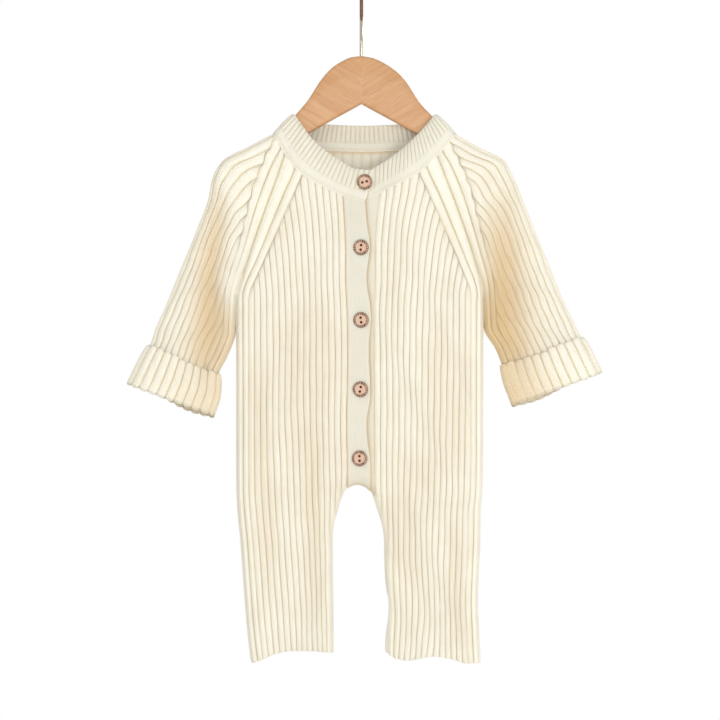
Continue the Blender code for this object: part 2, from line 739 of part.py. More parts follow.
def add_hook(steel, vinyl):
    """A question-mark hook turned edge on, and the sleeve on its free end."""
    start, turn = (0.0, -56.0), -50.0
    end = hook_circle(turn)
    pull = 17.0
    leave = (-math.sin(math.radians(turn)) * pull, math.cos(math.radians(turn)) * pull)
    route = [(0.0, -SHANK_END), (0.0, -74.0), (0.0, -65.0)]
    for step in range(7):
        t = step / 7
        a, b = 2 * t ** 3 - 3 * t ** 2 + 1, t ** 3 - 2 * t ** 2 + t
        c, d = 3 * t ** 2 - 2 * t ** 3, t ** 3 - t ** 2
        route.append((a * start[0] + c * end[0] + d * leave[0],
                      a * start[1] + b * pull + c * end[1] + d * leave[1]))
    sleeve_from = 180.0 - SLEEVE_START
    route += [hook_circle(angle) for angle in np.linspace(turn, sleeve_from, 24)]
    add_wire("hook", route, [1.0] * len(route), steel)
    gap = math.degrees(SEAM_GAP / HOOK_R)
    angles = np.linspace(sleeve_from + gap, 180.0 - TIP_ANGLE, 12)
    radii = [1.0] * 9 + [0.86, 0.62, 0.3]
    add_wire("hook_tip", [hook_circle(angle) for angle in angles], radii, vinyl)


# ---------------------------------------------------------------- build

def clear_scene():
    """Takes every object out, so that the part is alone."""
    for item in list(bpy.data.objects):
        bpy.data.objects.remove(item, do_unlink=True)


def build():
    """Makes every piece."""
    clear_scene()
    cream = material("cream_rib_knit", CREAM, 0.9)
    shade = material("cream_plain_knit", CREAM_SHADE, 0.9)
    beech = material("beech", BEECH, 0.5)
    button_wood = material("button_wood", BUTTON_WOOD, 0.55)
    steel = material("plated_steel", STEEL, 0.3, 1.0)
    vinyl = material("bronze_vinyl", BRONZE_VINYL, 0.4)

    front_left = body_half("left", -1, BODY_COLUMNS)
    front_right = body_half("right", -1, BODY_COLUMNS)
    back_left = body_half("left", 1, BODY_COLUMNS)
    back_right = body_half("right", 1, BODY_COLUMNS)

    def band_left(drop):
        return read(BAND, "drop", "left", drop) + SEAM_GAP

    def band_right(drop):
        return read(BAND, "drop", "right", drop)

    def stand_left(drop):
        return np.full_like(drop, STAND_LEFT)

    def stand_right(drop):
        return read(BAND, "drop", "stand", drop) - 2 * SEAM_GAP

    band = strip(band_left, band_right, NECK_LEFT, 0.0, (-17.4, 3.2))
    stand = strip(stand_left, stand_right, NECK_RIGHT, STAND_SET_BACK, (STAND_LEFT, 16.6))

    add_wall("front_left", [front_left], WALL, cream)
    add_wall("front_right", [front_right], WALL, cream)
    add_wall("back", [back_left, back_right], WALL, cream)
    add_wall("button_band", [band], BAND_WALL, shade)
    add_wall("button_stand", [stand], BAND_WALL, shade)
    sleeve_left = add_sleeve("sleeve_left", SLEEVE_LEFT, "left", cream)
    sleeve_right = add_sleeve("sleeve_right", SLEEVE_RIGHT, "right", cream)
    add_cuff("cuff_left", sleeve_left, cream)
    add_cuff("cuff_right", sleeve_right, cream)

    def top(piece, backwards=False, part=slice(None)):
        points, normals = piece[0][0][part], piece[1][0][part]
        return (points[::-1], normals[::-1]) if backwards else (points, normals)

    front_part, rear_part = slice(0, SLEEVE_COLUMNS), slice(SLEEVE_COLUMNS, None)
    add_neckband([
        (*top(band, True), NECK_LEFT),
        (*top(front_left, True), NECK_LEFT),
        (*top(sleeve_left, part=front_part), NECK_LEFT),
        (*top(sleeve_left, part=rear_part), NECK_BACK),
        (*top(back_left), NECK_BACK),
        (*top(back_right, True), NECK_BACK),
        (*top(sleeve_right, True, rear_part), NECK_BACK),
        (*top(sleeve_right, True, front_part), NECK_RIGHT),
        (*top(front_right), NECK_RIGHT),
        (*top(stand, True), NECK_RIGHT),
    ], cream)

    for number, (x, drop, turn) in enumerate(zip(*BUTTONS.values()), start=1):
        cloth_y = read(DEPTH, "drop", "depth", drop) + (NECK_BULGE if number == 1 else 0)
        face_y = -(cloth_y + BUTTON_CLEAR + BUTTON_THICK / 2)
        add_button(f"button_{number}", x, drop, float(face_y), turn, button_wood)

    add_arm("hanger_left", HANGER_LEFT, beech)
    add_arm("hanger_right", HANGER_RIGHT, beech)
    add_hook(steel, vinyl)


build()
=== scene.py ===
# %% [markdown]
# # A rib-knit baby romper on a wooden hanger
#
# The romper is knitted in panels and sewn together: two fronts with their legs, a
# back, two raglan sleeves with turned-back cuffs, a neckband, and a button band
# over its stand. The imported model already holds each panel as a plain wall. This
# lesson gives every panel its knitted surface: the ribs as real relief, the
# stitches as bump, and then the wood, the wire and the light.

# %% Load the fixed frame
import json
import math

import bmesh
import bpy
import numpy as np
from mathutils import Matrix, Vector

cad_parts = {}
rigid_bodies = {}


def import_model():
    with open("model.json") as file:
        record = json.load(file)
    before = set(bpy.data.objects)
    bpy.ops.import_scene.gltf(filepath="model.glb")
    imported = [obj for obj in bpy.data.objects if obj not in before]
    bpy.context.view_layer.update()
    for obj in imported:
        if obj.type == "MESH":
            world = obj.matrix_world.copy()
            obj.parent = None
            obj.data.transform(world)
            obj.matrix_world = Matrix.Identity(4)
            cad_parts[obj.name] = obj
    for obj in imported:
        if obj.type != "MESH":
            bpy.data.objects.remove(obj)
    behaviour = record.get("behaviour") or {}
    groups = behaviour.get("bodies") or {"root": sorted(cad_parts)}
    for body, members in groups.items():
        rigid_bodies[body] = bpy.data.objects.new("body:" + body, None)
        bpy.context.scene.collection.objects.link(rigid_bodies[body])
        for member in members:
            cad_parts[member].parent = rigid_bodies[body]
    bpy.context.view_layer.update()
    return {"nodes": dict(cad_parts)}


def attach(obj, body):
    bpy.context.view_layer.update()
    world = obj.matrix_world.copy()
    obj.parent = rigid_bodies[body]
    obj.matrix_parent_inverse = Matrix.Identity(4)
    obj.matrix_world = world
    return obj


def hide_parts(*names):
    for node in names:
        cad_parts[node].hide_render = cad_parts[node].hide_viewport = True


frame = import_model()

print("nodes in the frame:", len(frame["nodes"]))

# %% [markdown]
# ## Sizes and short tables
#
# The panels have no corners to snap to, so their outlines live in small tables:
# each row is a height on the garment, given as "drop", the millimetres below the
# hook. One reader runs a smooth curve through a column. These are the numbers that
# the plain panels were made from, so the knitted surface lies on them without any
# fitting. Only four numbers differ: just below each armpit the sleeve's inner fold
# lies up to a millimetre nearer the body, so that the sleeve hangs close against it.

# %% A table and its reader
MM = 0.001


def table(columns, *rows):
    """A short table: each named column as an array."""
    return dict(zip(columns.split(), np.array(rows, float).T))


def read(tab, key, column, at):
    """A column's value at any place along the key column, by smooth cubics."""
    x, y = tab[key], tab[column]
    at = np.clip(np.asarray(at, float), x[0], x[-1])
    step = np.diff(x)
    rise = np.diff(y) / step
    slope = np.empty_like(y)
    slope[0], slope[-1] = rise[0], rise[-1]
    same_way = rise[:-1] * rise[1:] > 0
    total = rise[:-1] + rise[1:]
    slope[1:-1] = np.where(same_way, 2 * rise[:-1] * rise[1:] / np.where(total == 0, 1, total), 0)
    i = np.clip(np.searchsorted(x, at) - 1, 0, len(step) - 1)
    t = (at - x[i]) / step[i]
    return (y[i] * (1 + 2 * t) * (1 - t) ** 2 + y[i + 1] * t * t * (3 - 2 * t)
            + step[i] * (slope[i] * t * (1 - t) ** 2 - slope[i + 1] * t * t * (1 - t)))


ramp = table("at height", (0, 0), (1, 1), (2, 4))
print("half way between two rows:", round(float(read(ramp, "at", "height", 1.5)), 2))

# %% The cut of the cloth, in millimetres
WALL = 2.4            # thickness of the rib knit
HALF_GAP = 0.15       # half the space between pieces that are sewn together
STAND_SET_BACK = 3.0  # the stand lies this far behind the button band
SHELF_REACH = 16.0    # over about this distance the right front comes out again
NECK_LEAN = 0.9       # depth of the neckband's free edge, as a share of its seam's depth
NECK_BULGE = 0.8      # how far the neckband rounds out between its edges
NECK_DROP = 150.0     # top of the raglan seams
ARMPIT_DROP = 298.0
CROTCH_DROP = 477.0   # top of the arch between the legs
CROTCH_X = -3.8       # its middle
CROTCH_HALF = 12.0    # this far from its middle
CROTCH_RISE = 6.0     # the arch lies this much lower
SIDE_ROUND = 21.0     # reach of the rounding at the side folds
LEG_ROUND = 19.0      # the same at the inside legs and above the crotch
SLEEVE_ROUND = 0.34   # the same on a sleeve, as a share of its width
ROUND_POWER = 2.2     # 2 is an ellipse, more is squarer
SEAM_FULLNESS = 0.92  # share of the full depth at the top of a raglan seam
STAND_LEFT = -8.0     # edge of the stand that lies hidden behind the band
BUTTON_THICK = 2.6
BUTTON_CLEAR = 0.35   # space between a button and the band, for the thread's shank
HOLE_SPREAD = 2.2     # from the button's middle to each hole
CUFF_LIFT = 0.8       # space between the sleeve and the cuff turned back over it
ARMPIT_ROW = 6
LAST_ROW = 12
CUFF_START = 10       # the row that a cuff's top edge lies on

SIDES = table(
    "drop   left    right",
    (150,  -69.8,   67.6), (161,  -72.7,   71.3), (200,  -86.2,   86.2), (232,  -98.0,   98.0),
    (263, -108.3,  108.0), (288, -116.4,  114.6), (300, -119.2,  116.2), (330, -119.7,  116.4),
    (434, -119.7,  116.4), (480, -119.5,  115.8), (505, -118.2,  113.9), (530, -115.8,  113.7),
    (553, -114.1,  112.8), (587, -111.6,  111.4), (620, -108.8,  112.6), (647, -105.5,  114.0),
)
INSEAMS = table(
    "drop   left    right",
    (477.0,  -3.8,  -3.8), (478.5,  -9.8,  2.2), (483.0, -15.8,  8.2), (490.0, -18.6, 11.2),
    (500.0, -21.8,  14.5), (515.0, -25.8, 19.3), (530.0, -27.1, 21.3), (553.0, -27.1, 21.7),
    (575.0, -26.8,  23.2), (590.0, -26.6, 25.8), (604.0, -26.4, 25.2), (620.0, -26.1, 23.0),
    (637.0, -26.1,  21.9),
)
BAND = table(
    "drop   left   right   stand",
    (200,  -17.8,    3.0,   17.4), (225,  -16.2,    4.8,   14.4), (250,  -15.3,    7.8,   12.8),
    (279,  -15.2,    4.8,   13.0), (314,  -13.6,    9.0,   11.6), (346,  -13.2,    6.8,   11.6),
    (386,  -13.6,    8.4,   12.0), (415,  -14.2,    4.8,   12.2), (432,  -14.0,    5.8,   12.2),
    (451,  -13.6,    8.2,   12.4), (480,  -13.4,    8.4,   12.4),
)
DEPTH = table(
    "drop  depth",
    (120,   9.6), (150,  11.0), (200,  13.0), (260,  15.5), (330,  17.0), (400,  17.0),
    (470,  16.0), (540,  14.5), (600,  13.5), (647,  13.0),
)
HEMS = table(
    "across  left   right",
    (0.00,  647.0,  647.0), (0.14,  643.4,  647.0), (0.30,  638.2,  643.0), (0.50,  635.0,  640.4),
    (0.75,  635.2,  644.0), (0.88,  636.2,  642.6), (1.00,  637.0,  636.0),
)
NECK_LEFT = table(
    "seam_x  seam_drop  top_x  top_drop",
    (-84.1,    141.6,   -64.5,   122.5), (-72.7,    160.6,   -55.0,   136.0),
    (-66.9,    170.0,   -48.5,   145.4), (-52.2,    183.4,   -36.0,   157.2),
    (-30.3,    195.2,   -19.0,   168.6), (-12.2,    203.3,    -5.0,   176.0),
    (3.4,      208.6,    13.4,   177.4),
)
NECK_RIGHT = table(
    "seam_x  seam_drop  top_x  top_drop",
    (-9.0,     207.0,    -4.0,   178.0), (3.0,      204.6,     5.5,   177.0),
    (17.6,     198.0,    18.6,   170.6), (35.6,     189.0,    38.0,   157.0),
    (53.7,     179.4,    49.0,   147.0), (71.3,     163.0,    60.5,   135.0),
    (90.3,     142.0,    70.5,   122.5),
)
NECK_BACK = table(
    "seam_x  seam_drop  top_x  top_drop",
    (-84.1,    141.6,   -64.5,   122.5), (-69.8,    150.6,   -56.0,   128.0),
    (-34.7,    157.6,   -30.0,   132.4), (1.0,      158.8,     1.0,   133.6),
    (36.7,     157.6,    33.0,   132.4), (67.6,     150.6,    59.0,   128.0),
    (90.3,     142.0,    70.5,   122.5),
)
SLEEVES = {"left": table(
    "along  out_x  out_drop   in_x  in_drop  back_drop  depth  hollow  place",
    (0,    -84.1,   141.6,   -72.7,  160.6,    150.6,   11.0,   0.00,  0.80),
    (1,   -107.8,   153.9,   -79.6,  181.0,    174.0,   12.0,   0.02,  0.80),
    (2,   -132.5,   167.2,   -88.5,  206.0,    201.0,   13.0,   0.06,  0.78),
    (3,   -142.4,   183.4,   -98.0,  232.0,    229.0,   14.0,   0.16,  0.76),
    (4,   -146.4,   204.0,  -106.7,  258.0,    256.0,   15.0,   0.30,  0.73),
    (5,   -156.0,   230.0,  -113.8,  280.0,    279.0,   15.5,   0.42,  0.63),
    (6,   -169.0,   262.0,  -118.9,  298.0,    298.0,   15.5,   0.50,  0.52),
    (7,   -177.5,   282.6,  -119.6,  314.0,    314.0,   15.5,   0.54,  0.43),
    (8,   -187.0,   306.0,  -120.2,  333.0,    333.0,   15.0,   0.54,  0.37),
    (9,   -196.0,   326.0,  -127.4,  354.0,    354.0,   14.5,   0.50,  0.31),
    (10,  -202.4,   344.0,  -136.2,  373.0,    373.0,   14.0,   0.40,  0.24),
    (11,  -211.0,   361.0,  -137.0,  390.0,    390.0,   14.0,   0.24,  0.20),
    (12,  -220.4,   380.0,  -142.4,  408.6,    408.6,   14.0,   0.12,  0.18),
), "right": table(
    "along  out_x  out_drop   in_x  in_drop  back_drop  depth  hollow  place",
    (0,     90.3,   142.0,    71.3,  163.0,    150.6,   11.0,   0.00,  0.66),
    (1,    112.0,   154.6,    78.3,  182.0,    174.0,   12.0,   0.02,  0.66),
    (2,    136.4,   167.2,    86.4,  206.0,    201.0,   13.0,   0.10,  0.65),
    (3,    145.4,   183.4,    95.0,  232.0,    229.0,   14.0,   0.24,  0.62),
    (4,    153.6,   203.0,   103.5,  258.0,    256.0,   15.0,   0.38,  0.58),
    (5,    164.5,   231.0,   110.6,  280.0,    279.0,   15.5,   0.48,  0.49),
    (6,    177.6,   263.0,   115.4,  298.0,    298.0,   15.5,   0.56,  0.39),
    (7,    186.0,   284.0,   116.4,  313.0,    313.0,   15.5,   0.60,  0.34),
    (8,    194.6,   304.6,   117.2,  329.0,    329.0,   15.0,   0.60,  0.30),
    (9,    202.6,   320.6,   128.0,  348.0,    348.0,   14.5,   0.54,  0.23),
    (10,   210.4,   336.6,   134.2,  364.0,    364.0,   14.0,   0.42,  0.18),
    (11,   217.6,   351.0,   138.4,  380.0,    380.0,   14.0,   0.26,  0.16),
    (12,   226.6,   369.4,   145.2,  398.4,    398.4,   14.0,   0.14,  0.14),
)}
HOLLOW_WIDTH = 0.17   # of a sleeve's soft fold, as a share of the sleeve's width
BUTTONS = table(
    "x     drop   turn",
    (3.0,  189.0,   14), (-0.5, 251.3,   84), (-0.5, 320.2,   97), (-1.0, 386.0,   78),
    (-1.8, 451.6,   92),
)
chest = read(SIDES, "drop", "right", 330) - read(SIDES, "drop", "left", 330)
print("chest:", round(float(chest)), "mm across")

# %% [markdown]
# ## Camera
#
# The garment is seen square on, from far enough that its edges run true, as a
# catalogue camera with a long lens sees it. A lens of 170 mm at a little over
# three metres gives a view 684 mm wide.

# %% Camera
VIEW_WIDTH = 0.684
CAMERA_FAR = 3.2
VIEW_MIDDLE = (-0.0014, -0.3582)
CLOTH_FRONT = -0.015

camera_data = bpy.data.cameras.new("catalogue_camera")
camera_data.sensor_width = 36.0
camera_data.lens = camera_data.sensor_width * CAMERA_FAR / VIEW_WIDTH
camera_data.clip_end = 20.0
camera = bpy.data.objects.new("catalogue_camera", camera_data)
camera.location = (VIEW_MIDDLE[0], CLOTH_FRONT - CAMERA_FAR, VIEW_MIDDLE[1])
camera.rotation_euler = (math.radians(90), 0, 0)
bpy.context.scene.collection.objects.link(camera)
bpy.context.scene.camera = camera
print("lens", round(camera_data.lens), "mm")

# %% [markdown]
# ## Colour and nodes
#
# Colours are chosen as sRGB hex values, as a dyer's shade card gives them, and one
# function turns them into the linear values that the renderer adds up. One more
# adds a shader node with its settings and links, so a material reads as a list.
# A texture's scale is the number of its features in a metre, so a third function
# works it out from the size of the real feature in millimetres.

# %% Colour and node helpers
def linear(hex_code):
    """An sRGB hex colour as linear RGBA."""
    parts = [int(hex_code[i:i + 2], 16) / 255 for i in (1, 3, 5)]
    return (*[c / 12.92 if c <= 0.04045 else ((c + 0.055) / 1.055) ** 2.4 for c in parts], 1.0)


def add_node(tree, kind, settings=None):
    """Adds one node; a setting is a number, word or hex colour, or a node or socket to link in."""
    node = tree.nodes.new(kind)
    for key, value in (settings or {}).items():
        if isinstance(value, bpy.types.Node):
            value = value.outputs[0]
        if isinstance(value, bpy.types.NodeSocket):
            tree.links.new(value, node.inputs[key])
        elif isinstance(key, int) or key in node.inputs:
            is_colour = isinstance(value, str)
            node.inputs[key].default_value = linear(value) if is_colour else value
        else:
            setattr(node, key, value)
    return node


def new_material(name, finish):
    """A node material: its Principled shader takes the finish, and more can be linked in."""
    made = bpy.data.materials.new(name)
    made.use_nodes = True
    tree = made.node_tree
    tree.nodes.clear()
    shader = add_node(tree, "ShaderNodeBsdfPrincipled", finish)
    add_node(tree, "ShaderNodeOutputMaterial", {"Surface": shader})
    return made, tree, shader


def per_metre(size):
    """The texture scale that makes a feature this many millimetres long."""
    return 1 / (size * MM)


print("cream in linear light:", [round(c, 2) for c in linear("#F6F0DC")[:3]])

# %% [markdown]
# ## Cotton rib knit
#
# The cloth is a soft cotton yarn, knitted, washed and left undyed cream. A knit
# shows three things: columns of V-shaped stitches, a fuzz that scatters light at
# its edges, and warmer, deeper shade down in the grooves, where light bounces
# from yarn to yarn; that shade is painted into the colour here. The stitches are
# bump, because each is only a millimetre or two; the ribs are real relief. Every
# cloth mesh carries its stitch count across and down, so the V's follow the ribs
# round every bend. It also carries how high on its rib each point is, which sets
# the painted groove shade, and how much painted warm shade it takes in folds and
# other hollows.

# %% Shape of a stitch
STITCH_BUMP = 0.42 * MM   # from the hollow of a stitch to its crown
FUZZ_SIZE = 0.909         # clumps of loose fibre, in millimetres; single ones are far too fine to show
UNEVEN_SIZE = 26.3        # how far apart washing leaves lighter and deeper places, in millimetres
SLANT = 0.62              # how steeply the two legs of a V run, in stitches


def stitch_height(tree):
    """Height of the V stitches, 0 to 1, from the stitch count that the mesh carries."""
    count = add_node(tree, "ShaderNodeAttribute", {"attribute_name": "stitch"})
    split = add_node(tree, "ShaderNodeSeparateXYZ", {0: count.outputs["Vector"]})
    wale = add_node(tree, "ShaderNodeMath", {"operation": "FRACT", 0: split})
    signed = add_node(tree, "ShaderNodeMath", {"operation": "MULTIPLY_ADD", 0: wale, 1: 2.0, 2: -1.0})
    side = add_node(tree, "ShaderNodeMath", {"operation": "ABSOLUTE", 0: signed})
    slant = add_node(tree, "ShaderNodeMath",
                     {"operation": "MULTIPLY_ADD", 0: side, 1: SLANT, 2: split.outputs[1]})
    leg = add_node(tree, "ShaderNodeMath", {"operation": "PINGPONG", 0: slant, 1: 0.5})
    steep = add_node(tree, "ShaderNodeMath", {"operation": "MULTIPLY", 0: leg, 1: 3.0})
    crown = add_node(tree, "ShaderNodeMath", {"operation": "SMOOTH_MIN", 0: steep, 1: 1.0, 2: 0.4})
    apart = add_node(tree, "ShaderNodeMath", {"operation": "MULTIPLY", 0: side, 1: 3.2})
    hollow = add_node(tree, "ShaderNodeMath", {"operation": "SMOOTH_MIN", 0: apart, 1: 1.0, 2: 0.3})
    falling = add_node(tree, "ShaderNodeMath", {"operation": "MULTIPLY_ADD", 0: side, 1: -4.0, 2: 4.0})
    edge = add_node(tree, "ShaderNodeMath", {"operation": "SMOOTH_MIN", 0: falling, 1: 1.0, 2: 0.3})
    across = add_node(tree, "ShaderNodeMath", {"operation": "MULTIPLY", 0: hollow, 1: edge})
    return add_node(tree, "ShaderNodeMath", {"operation": "MULTIPLY", 0: crown, 1: across})


print("stitch bump:", round(STITCH_BUMP / MM, 2), "mm")

# %% Knit material
def knit_material(name, crest, groove_shade_and_patches, shade):
    """Knitted cotton: V stitches, painted warm shade in the grooves and folds, and a fuzz."""
    # Loose fibres scatter light: the cloth has no gloss, and a pale bloom where it turns away.
    made, tree, shader = new_material(name, {
        "Roughness": 0.88, "Sheen Weight": 0.18, "Sheen Roughness": 0.45, "IOR": 1.45})
    height = stitch_height(tree)
    place = add_node(tree, "ShaderNodeTexCoord").outputs["Object"]
    fuzz = add_node(tree, "ShaderNodeTexNoise",
                    {"Scale": per_metre(FUZZ_SIZE), "Detail": 2.0, "Roughness": 0.5, "Vector": place})
    surface = add_node(tree, "ShaderNodeMath", {"operation": "MULTIPLY_ADD", 0: fuzz, 1: 0.25, 2: height})
    relief = add_node(tree, "ShaderNodeBump", {"Strength": 1.0, "Distance": STITCH_BUMP, "Height": surface})
    rib = add_node(tree, "ShaderNodeAttribute", {"attribute_name": "rib"}).outputs["Fac"]
    fold = add_node(tree, "ShaderNodeAttribute", {"attribute_name": "fold"}).outputs["Fac"]
    patchy = add_node(tree, "ShaderNodeTexNoise",
                      {"Scale": per_metre(UNEVEN_SIZE), "Detail": 4.0, "Roughness": 0.6, "Vector": place})
    uneven = add_node(tree, "ShaderNodeMapRange", {1: 0.35, 2: 0.65, 3: 0.0, 4: 0.18, 0: patchy})
    # Painted shade: the hollows of the stitches and the grooves between ribs mix the yarn towards the groove
    # colour; random patches of tone from washing use the same mix.
    stitch_hollow_shade = add_node(tree, "ShaderNodeMath", {"operation": "MULTIPLY_ADD", 0: height, 1: -0.22, 2: 0.22})
    down = add_node(tree, "ShaderNodeMath", {"operation": "SUBTRACT", 0: 1.0, 1: rib})
    low = add_node(tree, "ShaderNodeMath", {"operation": "POWER", 0: down, 1: 1.6})
    little = add_node(tree, "ShaderNodeMath", {"operation": "ADD", 0: stitch_hollow_shade, 1: uneven})
    warm_shade = add_node(tree, "ShaderNodeMath", {"operation": "ADD", 0: low, 1: little, "use_clamp": True})
    yarn_with_groove_shade = add_node(tree, "ShaderNodeMix", {"data_type": "RGBA", 0: warm_shade, 6: crest, 7: groove_shade_and_patches})
    # Painted shade: the fold attribute mixes in the shade colour, in folds, creases, under edges and inside.
    colour = add_node(tree, "ShaderNodeMix",
                      {"data_type": "RGBA", 0: fold, 6: yarn_with_groove_shade.outputs[2], 7: shade})
    tree.links.new(colour.outputs[2], shader.inputs["Base Color"])
    tree.links.new(relief.outputs[0], shader.inputs["Normal"])
    return made


# Rib knit shows pale crests and grooves painted a warm shade; the plain knit is flat and a little darker.
COTTON_RIB = knit_material("cotton_rib_knit_washed", "#F8F6EB", "#E4DBC2", "#D8BB8C")
COTTON_FINE = knit_material("cotton_plain_knit_washed", "#EFEDE1", "#DDD3BA", "#D8BB8C")
print("knit materials:", COTTON_RIB.name, COTTON_FINE.name)

# %% [markdown]
# ## The form under the ribs
#
# A garment on a hanger is two layers that part a little: full in the middle,
# folding round at the sides, the inside legs and the crotch. Each of those folds
# is a quarter of a rounded curve, so one function gives the depth of the cloth
# anywhere from its distance to the nearest fold. The normals come from the same
# function, which keeps them sound even where many columns of stitches meet.

# %% Depth of the body
def rounded(distance, reach):
    """0 on a folded edge, rising like a quarter ellipse to 1 at the reach."""
    share = np.clip(distance / reach, 0, 1)
    return (1 - (1 - share) ** ROUND_POWER) ** (1 / ROUND_POWER)


def seam_fullness(drop):
    """Share of the depth left at a raglan seam: full at the neck, 0 at the armpit."""
    share = np.clip((drop - NECK_DROP) / (ARMPIT_DROP - NECK_DROP), 0, 1)
    return SEAM_FULLNESS * np.sqrt(1 - share ** 3)


def arch_drop(x):
    """The crotch arch above a place between the legs."""
    return CROTCH_DROP + CROTCH_RISE * ((x - CROTCH_X) / CROTCH_HALF) ** 2


def seam_edge(drop, side, face):
    """Inner edge of one half above the legs: beside the button band, or mid back."""
    if face > 0:
        return np.full_like(np.asarray(drop, float), CROTCH_X)
    return read(BAND, "drop", "left" if side == "left" else "stand", drop)


def inner_edge(drop, side, face):
    """Inner edge of one half all the way down: the seam above, then the inside leg."""
    seam = seam_edge(drop, side, face)
    leg = read(INSEAMS, "drop", side, drop)
    past = (leg < seam) if side == "left" else (leg > seam)
    return np.where((drop >= CROTCH_DROP) & past, leg, seam)


def body_depth(x, drop, side, face):
    """Half depth of the body at a point of one half."""
    inner_x = inner_edge(drop, side, face)
    edge = read(SIDES, "drop", side, drop)
    full = seam_fullness(drop)
    at_side = full + (1 - full) * rounded(abs(x - edge), SIDE_ROUND)
    above = rounded(np.maximum(arch_drop(inner_x) - drop, 0), LEG_ROUND)
    at_leg = above + (1 - above) * rounded(abs(x - inner_x), LEG_ROUND)
    depth = read(DEPTH, "drop", "depth", drop) * at_side * at_leg
    if face < 0 and side == "right":
        away = (x - read(BAND, "drop", "stand", drop)) / SHELF_REACH
        fade = np.clip((arch_drop(CROTCH_X) - drop) / (2 * LEG_ROUND), 0, 1)
        depth = depth - STAND_SET_BACK * np.exp(-away ** 2) * fade
    return np.maximum(depth, 0)


def outward(side):
    """The way out from the middle: -1 on the left, +1 on the right."""
    return -1.0 if side == "left" else 1.0


def unit(vectors):
    """The same vectors, one long."""
    return vectors / np.maximum(np.linalg.norm(vectors, axis=-1, keepdims=True), 1e-9)


def edge_normal(slope, fullness, out, face):
    """Normal on a fold or raglan edge: sideways on a fold, forwards on a full seam."""
    sideways = unit(np.stack([np.full_like(slope, out), 0 * slope, out * slope], axis=-1))
    share = (np.asarray(fullness) / SEAM_FULLNESS)[..., None]
    return unit(share * np.array([0.0, face, 0.0]) + (1 - share) * sideways)


def body_normals(x, drop, side, face):
    """Outward normals of one half of the body, from the slope of its depth."""
    step, out = 0.25, outward(side)
    edge, inner = read(SIDES, "drop", side, drop), inner_edge(drop, side, face)
    to_side, to_inner = abs(x - edge), abs(x - inner)
    way = np.where(to_side < to_inner, -out, out) * step
    here = body_depth(x, drop, side, face)
    by_x = (body_depth(x + way, drop, side, face) - here) / way
    by_drop = (here - body_depth(x, drop - step, side, face)) / step
    normal = unit(np.stack([-by_x, np.full_like(x, face), by_drop], axis=-1))
    side_slope = (read(SIDES, "drop", side, drop + 1) - read(SIDES, "drop", side, drop - 1)) / 2
    leg_slope = (inner_edge(drop + 1, side, face) - inner_edge(drop - 1, side, face)) / 2
    near_side = np.exp(-(to_side / 0.8) ** 2)[..., None]
    normal = unit((1 - near_side) * normal
                  + near_side * edge_normal(side_slope, seam_fullness(drop), out, face))
    on_leg = drop >= arch_drop(inner) - 0.6
    near_leg = (np.exp(-(to_inner / 0.8) ** 2) * on_leg)[..., None]
    normal = unit((1 - near_leg) * normal + near_leg * edge_normal(leg_slope, 0 * drop, -out, face))
    on_seam = (to_inner < 0.01) & ~on_leg
    normal[on_seam, 0] = 0
    return unit(normal)


print("depth at the chest:", round(float(body_depth(np.array(-60.0), np.array(330.0), "left", -1)), 1), "mm")

# %% [markdown]
# ## Ribs as a knitting chart
#
# A rib is a raised column of stitches between two sunk ones. The chart of a panel
# is a list of grooves, and each rib between two grooves gets the same few columns
# of points, closer together by the groove, where the surface turns fastest. Along
# a raglan the knitter narrows the panel: the two ribs beside the seam run on
# unbroken and the field ribs end against them one by one. In the chart those
# grooves are simply held at that line, so their columns close up to a point.

# %% Rib columns and relief
PARTS = np.array([0, 0.06, 0.15, 0.30, 0.50, 0.70, 0.85, 0.94])
RIB_DEEP = 1.75       # from the top of a rib to its groove
ROUND_RIB = 0.62      # under 1 makes full ribs with narrow grooves
FOLD_PARTS = [0, 0.06, 0.15, 0.30, 0.50, 0.70, 0.85, 0.94, 1]       # the first rib on a fold
FOLD_HEIGHTS = [1, 0.94, 0.60, 0.90, 1, 0.92, 0.65, 0.38, 0]
OUTER_PARTS = [0, 0.06, 0.15, 0.30, 0.42, 0.48, 0.50]               # half a rib on a sleeve's fold
OUTER_HEIGHTS = [0, 0.50, 0.82, 1, 0.96, 0.80, 0.35]
EDGE_ROUND = 0.64     # the two wide ribs beside a raglan are rounder
EDGE_DEEP = 2.7       # and stand higher
INSIDE_WALL = 2.5     # from the tops of the ribs to the grooves inside
INSIDE_DEEP = 0.9     # the ribs of the inside
INSIDE_PITCH = 9.2    # they spread wider apart than the outside ones
LINING_PAINTED_SHADE = 0.02  # painted warm shade on the inner faces, for light that bounces about inside
WALES = 2             # columns of V stitches on a rib
COURSE = 2.1          # height of a stitch; real ones are finer, drawn coarser so that they show


def rib_columns(ribs):
    """For each column of points: the rib it is on, and its place across that rib."""
    rib = np.append(np.repeat(np.arange(ribs), len(PARTS)), ribs - 1)
    return rib, np.append(np.tile(PARTS, ribs), 1.0)


def rib_height(part, roundness=ROUND_RIB):
    """0 in a groove, 1 on top of a rib."""
    return np.sin(np.pi * np.clip(part, 0, 1)) ** roundness


def fold_height(height, part, rib, share):
    """On a fold the first rib turns into two, by share: one that wraps the fold, and one beside it."""
    wrapped = np.interp(part, FOLD_PARTS, FOLD_HEIGHTS)
    return np.where(rib == 0, height + share * (wrapped - height), height)


def inside_height(across):
    """The same for the inside, which is measured across the panel."""
    return rib_height((across / INSIDE_PITCH) % 1.0)


def closing(width, pitch):
    """Lets a rib sink as it narrows to nothing."""
    return np.clip(width / pitch, 0, 1) ** 0.6


print("columns of points on a rib:", len(PARTS))

# %% [markdown]
# ## Creases
#
# Cloth that hangs is never flat: it carries long soft folds from wear, packing
# and its own weight. Each crease is one row of a table: where it starts and ends,
# how wide and how deep it is. A deep one is a trough, a negative one a ridge. They
# are laid on the whole garment at once, so a fold runs on over a seam.

